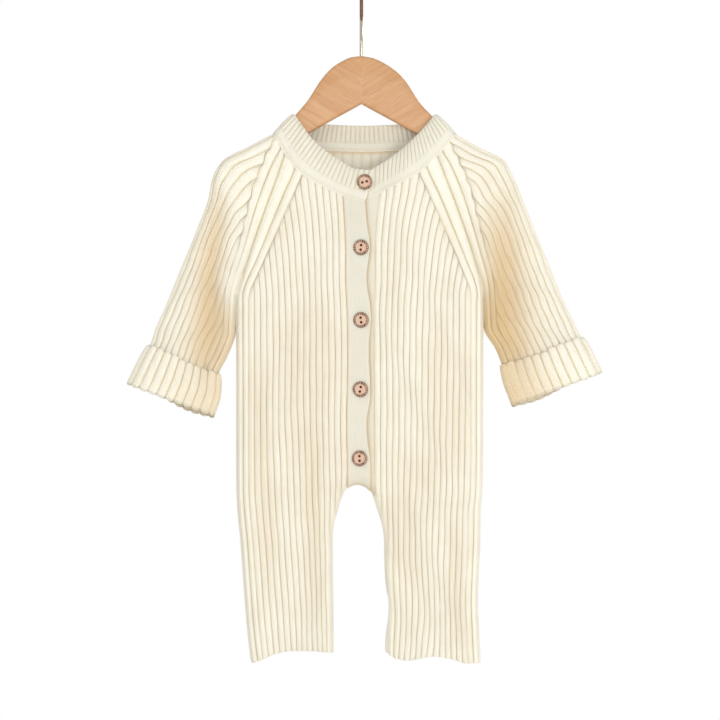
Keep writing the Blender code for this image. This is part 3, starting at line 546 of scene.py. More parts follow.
# %% Crease tables
FRONT_CREASES = table(
    "x1    drop1   x2    drop2  width  deep",
    (-96,   330,   -88,   600,   11,    1.6),
    (-66,   300,   -58,   470,   13,    1.0),
    (-48,   430,   -40,   610,    9,    1.4),
    (-30,   360,   -34,   520,    9,   -0.9),
    (-78,   540,   -66,   640,    9,   -1.2),
    (96,    330,    92,   480,   10,    1.2),
    (70,    300,    62,   520,   12,    1.0),
    (40,    420,    52,   600,    9,    1.2),
    (84,    500,    98,   640,    8,    1.5),
    (58,    560,    66,   640,    8,   -1.2),
    (28,    480,    34,   560,    7,    1.0),
    (-92,   250,   -60,   215,    9,    0.9),
    (96,    262,    66,   220,    8,    0.9),
    (-34,   250,   -28,   330,   10,   -0.7),
    (36,    240,    30,   330,   10,    0.8),
)
BACK_CREASES = table(
    "x1    drop1   x2    drop2  width  deep",
    (-90,   320,   -82,   590,   12,    1.8),
    (-52,   210,   -46,   400,   13,    1.3),
    (-20,   260,   -26,   470,   11,   -1.0),
    (18,    230,    24,   450,   12,    1.4),
    (58,    300,    50,   560,   12,    1.2),
    (94,    320,    90,   520,   10,    1.5),
    (76,    520,    84,   640,    9,   -1.2),
    (-56,   500,   -48,   640,    9,    1.4),
    (-80,   240,   -50,   205,    9,    0.9),
    (84,    250,    54,   208,    9,    1.0),
    (-40,   440,    -8,   472,    8,    1.0),
    (36,    446,     6,   474,    8,    1.0),
)


def crease(points, face):
    """How far the creases push each point in, in millimetres."""
    tab = FRONT_CREASES if face < 0 else BACK_CREASES
    sunk = np.zeros(points.shape[:-1])
    for x1, d1, x2, d2, width, deep in zip(*tab.values()):
        run = np.array([x2 - x1, d2 - d1])
        place = np.stack([points[..., 0] - x1, -points[..., 2] - d1], axis=-1)
        t = (place @ run) / (run @ run)
        bow = 3.0 * np.sin(2.7 * t + x1)
        off = (place[..., 0] * run[1] - place[..., 1] * run[0]) / np.linalg.norm(run) - bow
        ends = 1 / (1 + np.exp(-(t - 0.10) / 0.06)) / (1 + np.exp((t - 0.90) / 0.06))
        sunk += deep * ends * np.exp(-(off / width) ** 2)
    return sunk


print("creases:", len(FRONT_CREASES["x1"]), "in front,", len(BACK_CREASES["x1"]), "behind")

# %% [markdown]
# ## From patches to a wall
#
# A knitted panel is a sheet with thickness. A patch is a grid of points for the
# face that shows; the wall adds its back a little behind it and closes the rim.
# Points in the same place are welded first, so that the closed-up ends of ribs
# leave no stray faces and two halves of a panel become one.

# %% Patches and walls
def make_patch(base, normals, sink, lining, rib, stitch, fold=0.0, warm_shade=LINING_PAINTED_SHADE):
    """A patch: outer and inner points, and what the knit material reads at each."""
    inside = np.maximum(INSIDE_WALL + INSIDE_DEEP * lining, sink + 0.6)
    # The inner faces take the outer face's painted shade, or the lining's painted shade where that is more.
    return {"outer": base - sink[..., None] * normals, "inner": base - inside[..., None] * normals,
            "rib": rib, "lining": lining + 0 * rib, "stitch": stitch, "fold": fold + 0 * rib,
            "warm_shade": np.maximum(fold, warm_shade) + 0 * rib, "base": base, "normals": normals}


def weld(patches):
    """One list of points for the patches, and their quads and triangles."""
    outer = np.concatenate([p["outer"].reshape(-1, 3) for p in patches])
    _, first, index = np.unique(np.round(outer, 3), axis=0, return_index=True, return_inverse=True)
    index = index.reshape(-1)
    quads, start = [], 0
    for p in patches:
        rows, cols = p["rib"].shape
        ids = index[start:start + rows * cols].reshape(rows, cols)
        quads.append(np.stack([ids[:-1, :-1], ids[:-1, 1:], ids[1:, 1:], ids[1:, :-1]], -1).reshape(-1, 4))
        start += rows * cols
    quads = np.concatenate(quads)
    whole = np.array([len(set(quad)) for quad in quads.tolist()])
    faces = quads[whole == 4].tolist()
    for quad in quads[whole == 3].tolist():
        faces.append(list(dict.fromkeys(quad)))
    return first, faces


def rim_of(faces):
    """The directed edges that only one face uses."""
    used = {}
    for face in faces:
        for a, b in zip(face, face[1:] + face[:1]):
            key = (a, b) if a < b else (b, a)
            used[key] = None if key in used else (a, b)
    return [edge for edge in used.values() if edge]


def store(mesh, name, values, kind="FLOAT"):
    """Keeps a value for each point on the mesh."""
    layer = mesh.attributes.new(name, kind, "POINT")
    key = "vector" if kind == "FLOAT_VECTOR" else "value"
    layer.data.foreach_set(key, np.ascontiguousarray(values, np.float32).ravel())


def place_mesh(name, mesh, finish, sharp):
    """An object from a mesh, smooth but for edges that bend more than this many degrees."""
    mesh.shade_smooth()
    mesh.set_sharp_from_angle(angle=math.radians(sharp))
    mesh.materials.append(finish)
    made = bpy.data.objects.new(name, mesh)
    bpy.context.scene.collection.objects.link(made)
    return made


def add_object(name, points, faces, finish, sharp):
    """A smooth mesh object from points in millimetres, faces turned outwards."""
    mesh = bpy.data.meshes.new(name)
    mesh.from_pydata((np.asarray(points) * MM).tolist(), [], faces)
    bm = bmesh.new()
    bm.from_mesh(mesh)
    bmesh.ops.recalc_face_normals(bm, faces=bm.faces)
    bm.to_mesh(mesh)
    bm.free()
    return place_mesh(name, mesh, finish, sharp)


def add_wall(name, patches, finish):
    """A closed wall of cloth from one or more patches."""
    first, faces = weld(patches)
    values = {key: np.concatenate([p[key].reshape(p["rib"].size, -1) for p in patches])[first]
              for key in patches[0]}
    count = len(first)
    back = [[corner + count for corner in reversed(face)] for face in faces]
    rim = [[b, a, a + count, b + count] for a, b in rim_of(faces)]
    points = np.concatenate([values["outer"], values["inner"]])
    made = add_object(name, points, faces + back + rim, finish, sharp=70)
    store(made.data, "rib", np.concatenate([values["rib"], values["lining"]]))
    store(made.data, "fold", np.concatenate([values["fold"], values["warm_shade"]]))
    store(made.data, "stitch", np.tile(values["stitch"], (2, 1)), "FLOAT_VECTOR")
    print(f"{name}: {len(faces) * 2 + len(rim)} faces")
    return made


def settle(piece, slot, *nodes):
    """Rides on the frame's one body and stands for its plain panel, which it hides."""
    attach(piece, "root")
    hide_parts(*nodes)
    return piece


print("wall:", INSIDE_WALL, "mm from the tops of its ribs to the grooves inside")

# %% [markdown]
# ## Fronts and back
#
# The front is knitted as one panel a side, from the shoulder to the hem of its
# leg. Grooves run straight down from where they meet the raglan, and lean out a
# little near the top, where the narrowing pulls them over. At the inside leg the
# cloth is cut across the ribs. The back is the same chart with its halves joined.

# %% Grooves of the body
EDGE_RIBS = table(
    "drop  first  second",
    (150,  15.0,  25.5), (165,  14.6,  25.0), (181,  14.2,  23.7), (200,  12.4,  22.0),
    (232,  11.0,  19.4), (264,   8.2,  16.0), (283,   5.2,  13.4), (292,   4.4,  11.6),
    (304,   5.2,  11.6), (330,   5.6,  11.6), (400,   6.0,  12.0), (647,   6.0,  12.0),
)
FIELD_TOP = 360.0     # the field ribs are spaced evenly at this drop
LEAN = {("left", -1): 10.0, ("right", -1): 18.0, ("left", 1): 13.0, ("right", 1): 13.0}
LEAN_REACH = 40.0
FIELD_RIBS = {("left", -1): 16, ("right", -1): 16, ("left", 1): 17, ("right", 1): 18}
LEG_DRIFT = {"left": 5.0, "right": -2.0}
SEAM_SHALLOW = 0.02   # the raglan seam is this much shallower than a groove
SEAM_CLOSE = (0.3, 1.6)   # how far the sewn edges are pulled over the seam, at neck and armpit
WANDER = {"left": 0.28, "right": 0.5}   # how far ribs stray from their line
SWAY = table(
    "drop  left  right",
    (520,   0.0,   0.0), (545,   0.0,   0.4), (575,  0.0,   3.4), (600,   0.0,   5.0),
    (625,   0.0,   3.6), (647,   0.0,   1.6),
)


def groove_x(number, drop, side, face):
    """Where a groove of the body is at a drop, counted from the side seam."""
    ribs = FIELD_RIBS[side, face]
    out = outward(side)
    edge = read(SIDES, "drop", side, drop)
    first, second = (read(EDGE_RIBS, "drop", name, drop) for name in ("first", "second"))
    start = read(SIDES, "drop", side, FIELD_TOP) - out * EDGE_RIBS["second"][-1]
    stop = seam_edge(drop, side, face)
    share = np.clip((number - 2) / ribs, 0, 1)
    straight = start + share * (stop - start)
    taper = read(SIDES, "drop", side, drop) - read(SIDES, "drop", side, FIELD_TOP)
    straight = straight + np.where(drop > FIELD_TOP, taper, 0) * (1 - share) ** 1.5
    low = np.clip((drop - 400) / 200, 0, 1)
    straight = straight + LEG_DRIFT[side] * low * np.sin(np.pi * share)
    straight = straight + read(SWAY, "drop", side, drop) * np.sin(np.pi * share ** 1.4)
    stray = (np.sin(drop / 21 + number * 0.55) + 0.6 * np.sin(drop / 9.3 + number * 1.25)
             + 0.8 * np.sin(drop / 47 + number * 0.3))
    straight = straight + WANDER[side] * stray * np.sin(np.pi * share) ** 0.5
    into = np.maximum(-out * (straight - (edge - out * second)), 0)
    high = np.clip((295 - drop) / 100, 0, 1.1)
    lean = LEAN[side, face] * high * np.exp(-into / LEAN_REACH) * (1 - share ** 3)
    across = np.maximum(-out * (straight - edge) - lean, second)
    across = np.where(number == 0, 0, np.where(number == 1, first, across))
    across = np.where(number == ribs + 2, 1e3, across)
    return edge - out * np.minimum(across, -out * (inner_edge(drop, side, face) - edge))


chest_grooves = [float(groove_x(n, np.array(330.0), "left", -1)) for n in (1, 2, 3, 4)]
print("first grooves of the left front at the chest:", [round(x, 1) for x in chest_grooves])


def seam_fold(drop):
    """How far the edge has turned from a flat raglan seam into a side fold."""
    turned = 1 - seam_fullness(drop) / SEAM_FULLNESS
    return np.clip(SEAM_SHALLOW + (1 - SEAM_SHALLOW) * 1.3 * turned ** 1.5, 0, 1)


def seam_pull(drop, rib, part):
    """Pulls the edge column of a panel over the raglan seam."""
    turned = 1 - seam_fullness(drop) / SEAM_FULLNESS
    sideways = turned / np.hypot(turned, 1 - turned)
    folded = seam_fold(drop)
    pull = SEAM_CLOSE[0] + (SEAM_CLOSE[1] - SEAM_CLOSE[0]) * folded + EDGE_DEEP * (1 - folded) * sideways
    below = 1 / (1 + np.exp((drop - ARMPIT_DROP - 22) / 4))
    return pull * below * ((rib == 0) & (part < 0.01))


def column_x(rib, part, drop, side, face):
    """Where a column of points is, and how wide its rib is there."""
    near, far = (groove_x(rib + n, drop, side, face) for n in (0, 1))
    return near + part * (far - near), abs(far - near)


# %% Body panels
ROW_STEP = 3.4
TOP_FADE, HEM_FADE = 330.0, 500.0
HEM_WAVE = 0.8        # ribs end a little lower than the grooves between them
CREASE_SHADE = 0.13
BAND_SHADE, BAND_SHADE_TOP = 0.17, 290.0
CROTCH_ROWS = (462.0, 492.0, 1.5)


def body_rows(top, hem, step):
    """Drops of the rows at the inner edge, closer together round the crotch."""
    start, end, fine = CROTCH_ROWS
    return np.concatenate([
        np.linspace(top, start, round((start - top) / step), endpoint=False),
        np.arange(start, end, fine),
        np.linspace(end, hem, round((hem - end) / step)),
    ])


def band_shade(x, drop, side, face):
    """A warm tint on the left front, for the soft shade beside the button band."""
    if face > 0 or side == "right":
        return 0 * x
    down = 1 / (1 + np.exp((BAND_SHADE_TOP - drop) / 12)) / (1 + np.exp((drop - CROTCH_DROP - 25) / 14))
    return BAND_SHADE * np.exp(-((x + 36) / 25) ** 2) * down


def body_patch(side, face, neck, step=ROW_STEP):
    """One half of the front or back as a patch of ribs."""
    rib, part = rib_columns(FIELD_RIBS[side, face] + 2)
    top = np.full(len(rib), 180.0)
    for _ in range(60):
        x, _ = column_x(rib, part, top, side, face)
        top += 0.5 * (read(neck, "seam_x", "seam_drop", x) - top)
    low = np.full(len(rib), 640.0)
    x, _ = column_x(rib, part, low, side, face)
    hem = read(HEMS, "across", side, (x - x[0]) / (x[-1] - x[0]))
    level = body_rows(top[-1], hem[-1], step)[:, None]
    drop = level + (top - top[-1]) * np.clip((TOP_FADE - level) / (TOP_FADE - top[-1]), 0, 1)
    drop = drop + (hem - hem[-1]) * np.clip((level - HEM_FADE) / (hem[-1] - HEM_FADE), 0, 1)
    x, width = column_x(rib, part, drop, side, face)
    pitch = abs(groove_x(9, np.array(FIELD_TOP), side, face) - groove_x(8, np.array(FIELD_TOP), side, face))
    height = rib_height(part, np.where(rib < 2, EDGE_ROUND, ROUND_RIB)) * closing(width, pitch)
    height = fold_height(height, part, rib, seam_fold(drop))
    at_leg = np.exp(-((x - inner_edge(drop, side, face)) / 2.0) ** 2) * (drop > arch_drop(x[:, -1:]) - 1)
    height = height + (1 - height) * at_leg * 0.85
    near_hem = np.clip((drop - HEM_FADE) / (hem - HEM_FADE), 0, 1) ** 24
    drop = drop + HEM_WAVE * (height - 0.5) * near_hem
    base = np.stack([x, face * np.maximum(body_depth(x, drop, side, face), HALF_GAP), -drop], -1)
    normals = body_normals(x, drop, side, face)
    base[..., 0] += outward(side) * seam_pull(drop, rib, part)
    hem_roll = np.exp(-((hem - drop) / 1.2) ** 2)
    deep = np.where(rib < 2, EDGE_DEEP, RIB_DEEP) * (1 + 0.12 * np.sin(drop / 17 + rib * 1.9))
    sunk = crease(base, face)
    sink = deep * (1 - height) + 0.25 * np.exp(-((drop - top) / 1.5) ** 2) + 0.7 * hem_roll + sunk
    stitch = np.stack([np.broadcast_to((rib + part) * WALES, drop.shape), drop / COURSE, 0 * drop], -1)
    # Painted shade: a warm tint in the crease troughs, and beside the button band on the left front.
    fold = np.clip(CREASE_SHADE * sunk + band_shade(x, drop, side, face), 0, 0.5)
    # Painted shade on the inside of the back: a warm tint all over, and a dark line just under the neckband's
    # seam.
    warm_shade = 0.16 + 0.64 * np.exp(-((drop - top) / 1.8) ** 2) if face > 0 else LINING_PAINTED_SHADE
    return make_patch(base, normals, sink, inside_height(x), height, stitch, fold, warm_shade)


front_left = body_patch("left", -1, NECK_LEFT)
front_right = body_patch("right", -1, NECK_RIGHT)
back_left = body_patch("left", 1, NECK_BACK, 3.9)
back_right = body_patch("right", 1, NECK_BACK, 3.9)
panels = {
    "front_left": add_wall("front_left_knit", [front_left], COTTON_RIB),
    "front_right": add_wall("front_right_knit", [front_right], COTTON_RIB),
    "back": add_wall("back_knit", [back_left, back_right], COTTON_RIB),
}
for node, piece in panels.items():
    settle(piece, "rib_knit_cream", node)

# %% [markdown]
# ## Raglan sleeves
#
# A raglan sleeve runs up to the neck. Its ribs follow the outer fold, over the
# shoulder and down the arm, so they are measured from that fold; two ribs by the
# seam run beside it, and the line between them steps in and out where each field
# rib ends. A long soft fold hangs from the shoulder of each sleeve, and the cloth
# in it is painted a warm shade, for the light that bounces about in the fold.

# %% Grooves of a sleeve
SLEEVE_PITCH = 6.5
SLEEVE_RIBS = table(
    "along  left_start  left_pitch  right_start  right_pitch",
    (0,        1.5,        10.5,        3.0,        7.6), (1.5,  1.8,  11.0,  3.0,  8.2),
    (2.5,      2.2,        10.4,        3.2,        8.2), (3.5,  2.8,   8.4,  3.2,  7.4),
    (4.5,      3.2,         7.0,        3.3,        6.9), (6,    3.3,   6.5,  3.3,  6.5),
    (12,       3.3,         6.5,        3.3,        6.5),
)
SLEEVE_FIELD = 11
SEAM_RIBS = table(
    "along  first  second",
    (0,      6.2,  17.5), (1,  9.4,  19.0), (2,  10.0,  19.4), (3,  9.2,  17.0),
    (4,      8.2,  15.0), (5,  7.6,  14.0), (6,   6.4,  12.6), (12, 6.4,  12.6),
)
STEP_OUT = 0.9        # the narrowing line's steps, in and out


def sleeve_ends(tab, side, face, along):
    """Inner and outer ends of a sleeve's row: x and drop of each."""
    drop_in = read(tab, "along", "in_drop" if face < 0 else "back_drop", along)
    in_x = np.where(along <= ARMPIT_ROW, read(SIDES, "drop", side, drop_in),
                    read(tab, "along", "in_x", along))
    return in_x, drop_in, read(tab, "along", "out_x", along), read(tab, "along", "out_drop", along)


def sleeve_base(tab, side, face, along, share):
    """Points of a sleeve, by row and share of the way from the seam to the outer fold."""
    in_x, drop_in, out_x, out_drop = sleeve_ends(tab, side, face, along)
    full = np.where(along <= ARMPIT_ROW, seam_fullness(drop_in), 0)
    seam_depth = read(DEPTH, "drop", "depth", drop_in) * full
    near_edge = rounded(share, SLEEVE_ROUND)
    depth = seam_depth * (1 - near_edge) + read(tab, "along", "depth", along) * near_edge
    depth = depth * rounded(1 - share, SLEEVE_ROUND) * (1 - sleeve_hollow(tab, along, share))
    return np.stack([in_x + share * (out_x - in_x), face * depth,
                     -(drop_in + share * (out_drop - drop_in))], -1)


def sleeve_hollow(tab, along, share):
    """The hanging fold: how much of the depth it takes."""
    place = read(tab, "along", "place", along)
    return read(tab, "along", "hollow", along) * np.exp(-((share - place) / HOLLOW_WIDTH) ** 2)


def sleeve_normals(tab, side, face, along, share):
    """Outward normals of a sleeve, sideways on its folds."""
    step, out = 0.004, outward(side)
    way = np.where(share > 0.5, -step, step)
    here = sleeve_base(tab, side, face, along, share)
    across = (sleeve_base(tab, side, face, along, share + way) - here) / way[..., None]
    down = (sleeve_base(tab, side, face, np.minimum(along + 0.05, LAST_ROW), share)
            - sleeve_base(tab, side, face, np.maximum(along - 0.05, 0), share))
    normal = unit(np.cross(across, down))
    normal *= np.where(normal[..., 1:2] * face < 0, -1.0, 1.0)
    ends = [np.stack(sleeve_ends(tab, side, face, np.clip(along + s, 0, LAST_ROW)), -1)
            for s in (-0.1, 0.1)]
    run = ends[1] - ends[0]
    in_slope = run[..., 0] / np.maximum(run[..., 1], 1e-6)
    drop_in = ends[0][..., 1]
    fullness = np.where(along <= ARMPIT_ROW, seam_fullness(drop_in), 0)
    near_in = np.exp(-(share / 0.012) ** 2)[..., None]
    normal = unit((1 - near_in) * normal + near_in * edge_normal(in_slope, fullness, -out, face))
    fold = unit(np.stack([out * run[..., 3], 0 * along, out * run[..., 2]], -1))
    near_out = np.exp(-((1 - share) / 0.012) ** 2)[..., None]
    return unit((1 - near_out) * normal + near_out * fold)


def sleeve_columns(tab, side, face, along):
    """Columns across a sleeve: share of the way out, place on the rib, rib width."""
    in_x, drop_in, out_x, out_drop = sleeve_ends(tab, side, face, along)
    wide = np.hypot(out_x - in_x, out_drop - drop_in)
    first, second = (read(SEAM_RIBS, "along", name, along) for name in ("first", "second"))
    start, pitch = (read(SLEEVE_RIBS, "along", f"{side}_{name}", along) for name in ("start", "pitch"))
    zigzag = STEP_OUT * np.sin(2 * np.pi * along / 0.62) * np.clip(4.5 - along, 0, 1)
    grooves = [0 * along, first, second + zigzag]
    for number in range(SLEEVE_FIELD - 1, -1, -1):
        wave = 0.5 * np.sin(along * 2.1 + number * 0.6) + 0.3 * np.sin(along * 5.3 + number * 1.4)
        grooves.append(np.maximum(wide - start - number * pitch - wave, second + zigzag))
    grooves = np.minimum(np.array(grooves), wide)
    shares, parts, widths, ribs = [], [], [], []
    for rib in range(len(grooves)):
        last = rib == len(grooves) - 1
        far = wide if last else grooves[rib + 1]
        for part in OUTER_PARTS if last else PARTS:
            reach = part * 2 if last else part
            shares.append((grooves[rib] + reach * (far - grooves[rib])) / wide)
            parts.append(part)
            widths.append((far - grooves[rib]) * (2 if last else 1))
            ribs.append(rib)
    return (np.stack(shares, 1), np.array(parts), np.stack(widths, 1), np.array(ribs))


print("ribs on half a sleeve: 2 by the seam,", SLEEVE_FIELD, "in the field, and half of one on the fold")

# %% Sleeves
SLEEVE_ROWS = 96
SLEEVE_LONG = 290     # length over which a sleeve's stitches are counted
FOLD_SHIFT = {"left": -0.01, "right": 0.12}
FOLD_REACH = {"left": (0.24, 0.24), "right": (0.34, 0.38)}
FOLD_SOFT = 0.40      # ribs are pulled flatter in the hanging fold
PULLED = {"left": 0.7, "right": 0.2}   # and on the stretched cloth beside the armpit
# Painted shade in each sleeve's hanging fold, row by row; FOLD_SHIFT and FOLD_REACH place it across the
# sleeve.
FOLD_SHADE = table(
    "along  left  right",
    (0,     0.00,  0.00), (2.6, 0.02, 0.10), (3.6, 0.30, 0.44), (4.6, 0.54, 0.70), (6, 0.66, 0.88),
    (8,     0.78,  0.96), (9.5, 0.66, 0.88), (10.5, 0.40, 0.50), (12, 0.2, 0.2),
)


def sleeve_patch(side, face):
    """The front or back half of a sleeve as a patch of ribs."""
    tab = SLEEVES[side]
    rows = np.linspace(0, LAST_ROW, SLEEVE_ROWS)
    share, part, width, rib = sleeve_columns(tab, side, face, rows)
    along = np.broadcast_to(rows[:, None], share.shape)
    base = sleeve_base(tab, side, face, along, share)
    normals = sleeve_normals(tab, side, face, along, share)
    height = rib_height(part, np.where(rib < 2, EDGE_ROUND, ROUND_RIB))
    height = np.where(rib == rib[-1], np.interp(part, OUTER_PARTS, OUTER_HEIGHTS), height)
    height = height * closing(width, SLEEVE_PITCH)
    seam_drop = sleeve_ends(tab, side, face, along)[1]
    height = fold_height(height, part, rib, np.where(along < ARMPIT_ROW, seam_fold(seam_drop), 1))
    base[..., 0] -= outward(side) * seam_pull(seam_drop, rib, part)
    deep = np.where(rib < 2, EDGE_DEEP, RIB_DEEP) * (1 + 0.12 * np.sin(along * 4.1 + rib * 1.7))
    stitch = np.stack([np.broadcast_to((rib + part) * WALES, share.shape),
                       along * SLEEVE_LONG / LAST_ROW / COURSE, 0 * share], -1)
    # Painted shade: a warm tint across the hanging fold, which also flattens the ribs there.
    wide = read(tab, "along", "place", along)
    off = share - wide + FOLD_SHIFT[side]
    start, outer = FOLD_REACH[side]
    reach = np.where(off < 0, start + 0.45 / (1 + np.exp((7.4 - along) / 0.5)), outer)
    fold = read(FOLD_SHADE, "along", side, along) * np.exp(-(off / reach) ** 2)
    pulled = PULLED[side] * np.exp(-((share - 0.15) / 0.14) ** 2 - ((along - 5.6) / 1.9) ** 2)
    height = 1 - (1 - FOLD_SOFT * fold) * (1 - pulled) * (1 - height)
    sink = deep * (1 - height) + 0.25 * np.exp(-(along / 0.08) ** 2)
    return make_patch(base, normals, sink, height, height, stitch, fold)


sleeve_patches = {(side, face): sleeve_patch(side, face) for side in SLEEVES for face in (-1, 1)}
for side in SLEEVES:
    sleeve = add_wall(f"sleeve_{side}_knit", [sleeve_patches[side, -1], sleeve_patches[side, 1]], COTTON_RIB)
    panels[f"sleeve_{side}"] = settle(sleeve, "rib_knit_cream", f"sleeve_{side}")

# %% [markdown]
# ## Turned-back cuffs
#
# Each sleeve is knitted long and its end is turned back up over itself. The cuff
# is one ring: its outside, the fold at the bottom and the layer inside. Its ribs
# look wider than the sleeve's, because the outer layer stretches over the fold,
# and its raw edge at the top is never quite level.

# %% Cuffs
CUFF_ROWS = 15
CUFF_RIBS = 22        # all round
CUFF_LONG = 44        # length over which a cuff's stitches are counted
# Painted shade on the cuff's inside layer, where it shows below the fold.
CUFF_LINING_SHADE = 0.38
CUFF_DEEP = 2.0
CUFF_HANG = 4.5       # the back of the fold hangs this much lower on the body's side
CUFF_SHADE = {"left": (0.46, 0.40), "right": (0.70, 0.44)}   # painted warm shade beside the body: amount, and reach across the cuff
CUFF_SOFT = {"left": 0.15, "right": 0.6}   # by the body, ribs are pulled flatter by this share
CUFF_SCALLOP = {"left": 1.4, "right": 0.5}


def resample(path, places):
    """Points along a path at the given distances, with the path's own distances."""
    run = np.concatenate([[0], np.cumsum(np.linalg.norm(np.diff(path, axis=0), axis=1))])
    return np.stack([np.interp(places * run[-1], run, path[:, k]) for k in range(path.shape[1])], -1)


def ring_shares(tab, side, along, ribs):
    """Shares and faces of the columns round a sleeve, evenly spaced by length."""
    fine = np.linspace(0, 1, 200)
    front, rear = (sleeve_base(tab, side, face, np.full(200, float(along)), fine) for face in (-1, 1))
    loop = np.concatenate([np.c_[front, fine], np.c_[rear, 2 - fine][::-1][1:]])
    run = np.concatenate([[0], np.cumsum(np.linalg.norm(np.diff(loop[:, :3], axis=0), axis=1))])
    rib = np.repeat(np.arange(ribs), len(PARTS))
    part = np.tile(PARTS, ribs)
    at = np.interp((rib + part) / ribs * run[-1], run, loop[:, 3])
    return rib, part, np.where(at > 1, 2 - at, at), np.where(at > 1, 1, -1), run[-1]


def add_cuff(side):
    """A cuff as a closed ring of ribs, with its fold and its inside layer."""
    tab = SLEEVES[side]
    rib, part, share, face, length = ring_shares(tab, side, 11.0, CUFF_RIBS)
    rows = np.linspace(CUFF_START, LAST_ROW, CUFF_ROWS)

    def layer(along, lift):
        points, normals = np.zeros((2, len(along), len(share), 3))
        for one in (-1, 1):
            on = face == one
            grid = np.broadcast_to(np.asarray(along, float)[:, None], (len(along), on.sum()))
            wide = np.broadcast_to(share[on], grid.shape)
            points[:, on] = sleeve_base(tab, side, one, grid, wide)
            normals[:, on] = sleeve_normals(tab, side, one, grid, wide)
        return points + lift * normals, normals

    outer, normals = layer(rows, CUFF_LIFT + WALL)
    inner, _ = layer(rows[::-1], CUFF_LIFT)
    down = unit(outer[-1] - outer[-3])
    turn = normals[-1]
    height = rib_height(part)
    wave = 0.9 * np.sin(rib * 0.9 + 1.1) + 0.5 * np.sin(rib * 2.3)
    edge_wave = (wave[None] + 1.2 * height - 0.6) * np.exp(-((rows - rows[0]) / 0.5) ** 2)[:, None]
    outer = outer - edge_wave[..., None] * down[None]
    near_top = np.exp(-((rows - rows[0]) / 0.16) ** 2)[:, None]
    near_end = np.exp(-((rows[-1] - rows) / 0.30) ** 2)[:, None]
    flat = 1 - CUFF_SOFT[side] * np.exp(-(share / 0.3) ** 2) * (face < 0)
    sink = CUFF_DEEP * flat * (1 - height) * (1 - 0.35 * near_end) + 0.8 * near_top - 0.4 * near_end
    sink = sink - 0.7 * np.sin(np.pi * (rows - rows[0]) / (rows[-1] - rows[0]))[:, None]
    hang = ((rows - rows[0]) / (rows[-1] - rows[0]))[:, None] ** 3 * (face > 0)
    hang = hang * CUFF_HANG * np.exp(-((share - 0.25) / 0.28) ** 2)
    outer = outer + hang[..., None] * down[None]
    inner = inner + hang[::-1, :, None] * down[None]
    outside = outer - sink[..., None] * normals
    scallop = np.exp(-((rows - rows[0]) / 0.8) ** 2)[:, None] * (height - 0.5)
    inner = inner + CUFF_SCALLOP[side] * scallop[..., None] * (down - 0.6 * turn)[None]
    middle = (outside[-1] + inner[0]) / 2
    half = np.linalg.norm(outside[-1] - inner[0], axis=1, keepdims=True) / 2
    fold = []
    for degrees in np.linspace(22, 158, 6):
        angle = math.radians(degrees)
        out = math.cos(angle) * (outside[-1] - middle) + math.sin(angle) * (half + 1.0) * down
        fold.append(middle + out)
    ring = np.concatenate([outside, fold, inner - edge_wave[::-1, :, None] * down[None]])
    count, around = ring.shape[:2]
    ids = np.arange(count * around).reshape(count, around)
    after, beside = np.roll(ids, -1, 0), np.roll(ids, -1, 1)
    faces = np.stack([ids, beside, np.roll(after, -1, 1), after], -1).reshape(-1, 4).tolist()
    made = add_object(f"cuff_{side}_knit", ring.reshape(-1, 3), faces, COTTON_RIB, sharp=75)
    along = np.arange(count)[:, None] * CUFF_LONG / CUFF_ROWS
    store(made.data, "rib", np.broadcast_to(1 - flat * (1 - height), (count, around)))
    # Painted shade: a warm tint on the cuff beside the body, and on its inside layer.
    amount, reach = CUFF_SHADE[side]
    warm_shade = np.tile(amount * np.exp(-(share / reach) ** 2), (count, 1))
    warm_shade[CUFF_ROWS + 3:] = CUFF_LINING_SHADE
    store(made.data, "fold", warm_shade)
    stitch = np.broadcast_arrays((rib + part) * WALES, along / COURSE, 0 * along)
    store(made.data, "stitch", np.stack(stitch, -1), "FLOAT_VECTOR")
    print(f"{made.name}: {len(faces)} faces, {length:.0f} mm round")
    return settle(made, "rib_knit_cream", f"cuff_{side}")


for side in SLEEVES:
    panels[f"cuff_{side}"] = add_cuff(side)

# %% [markdown]
# ## Button band and stand
#
# The band is a narrow strip of plain knit, folded lengthwise and linked to the
# left front; it covers the stand, the same strip on the right front. Buttons hold
# it down at five places and it springs out a little between them, so its free
# edge waves and throws a soft shadow, deepened by painted shade on the stand.

# %% Button band and stand
STRIP_COLUMNS = 25
STRIP_ROWS = 110
TUCK = 0.25           # the strips' linked edges tuck into the first groove beside them
FINE_STITCH = 2.4, 2.0   # real ones are 1.5 mm; these are drawn coarser, so that they show
OVERHANG_SHADOW = 0.62   # painted shadow: the stand is tinted warm where the band overhangs it
SHADE_REACH = 2.6


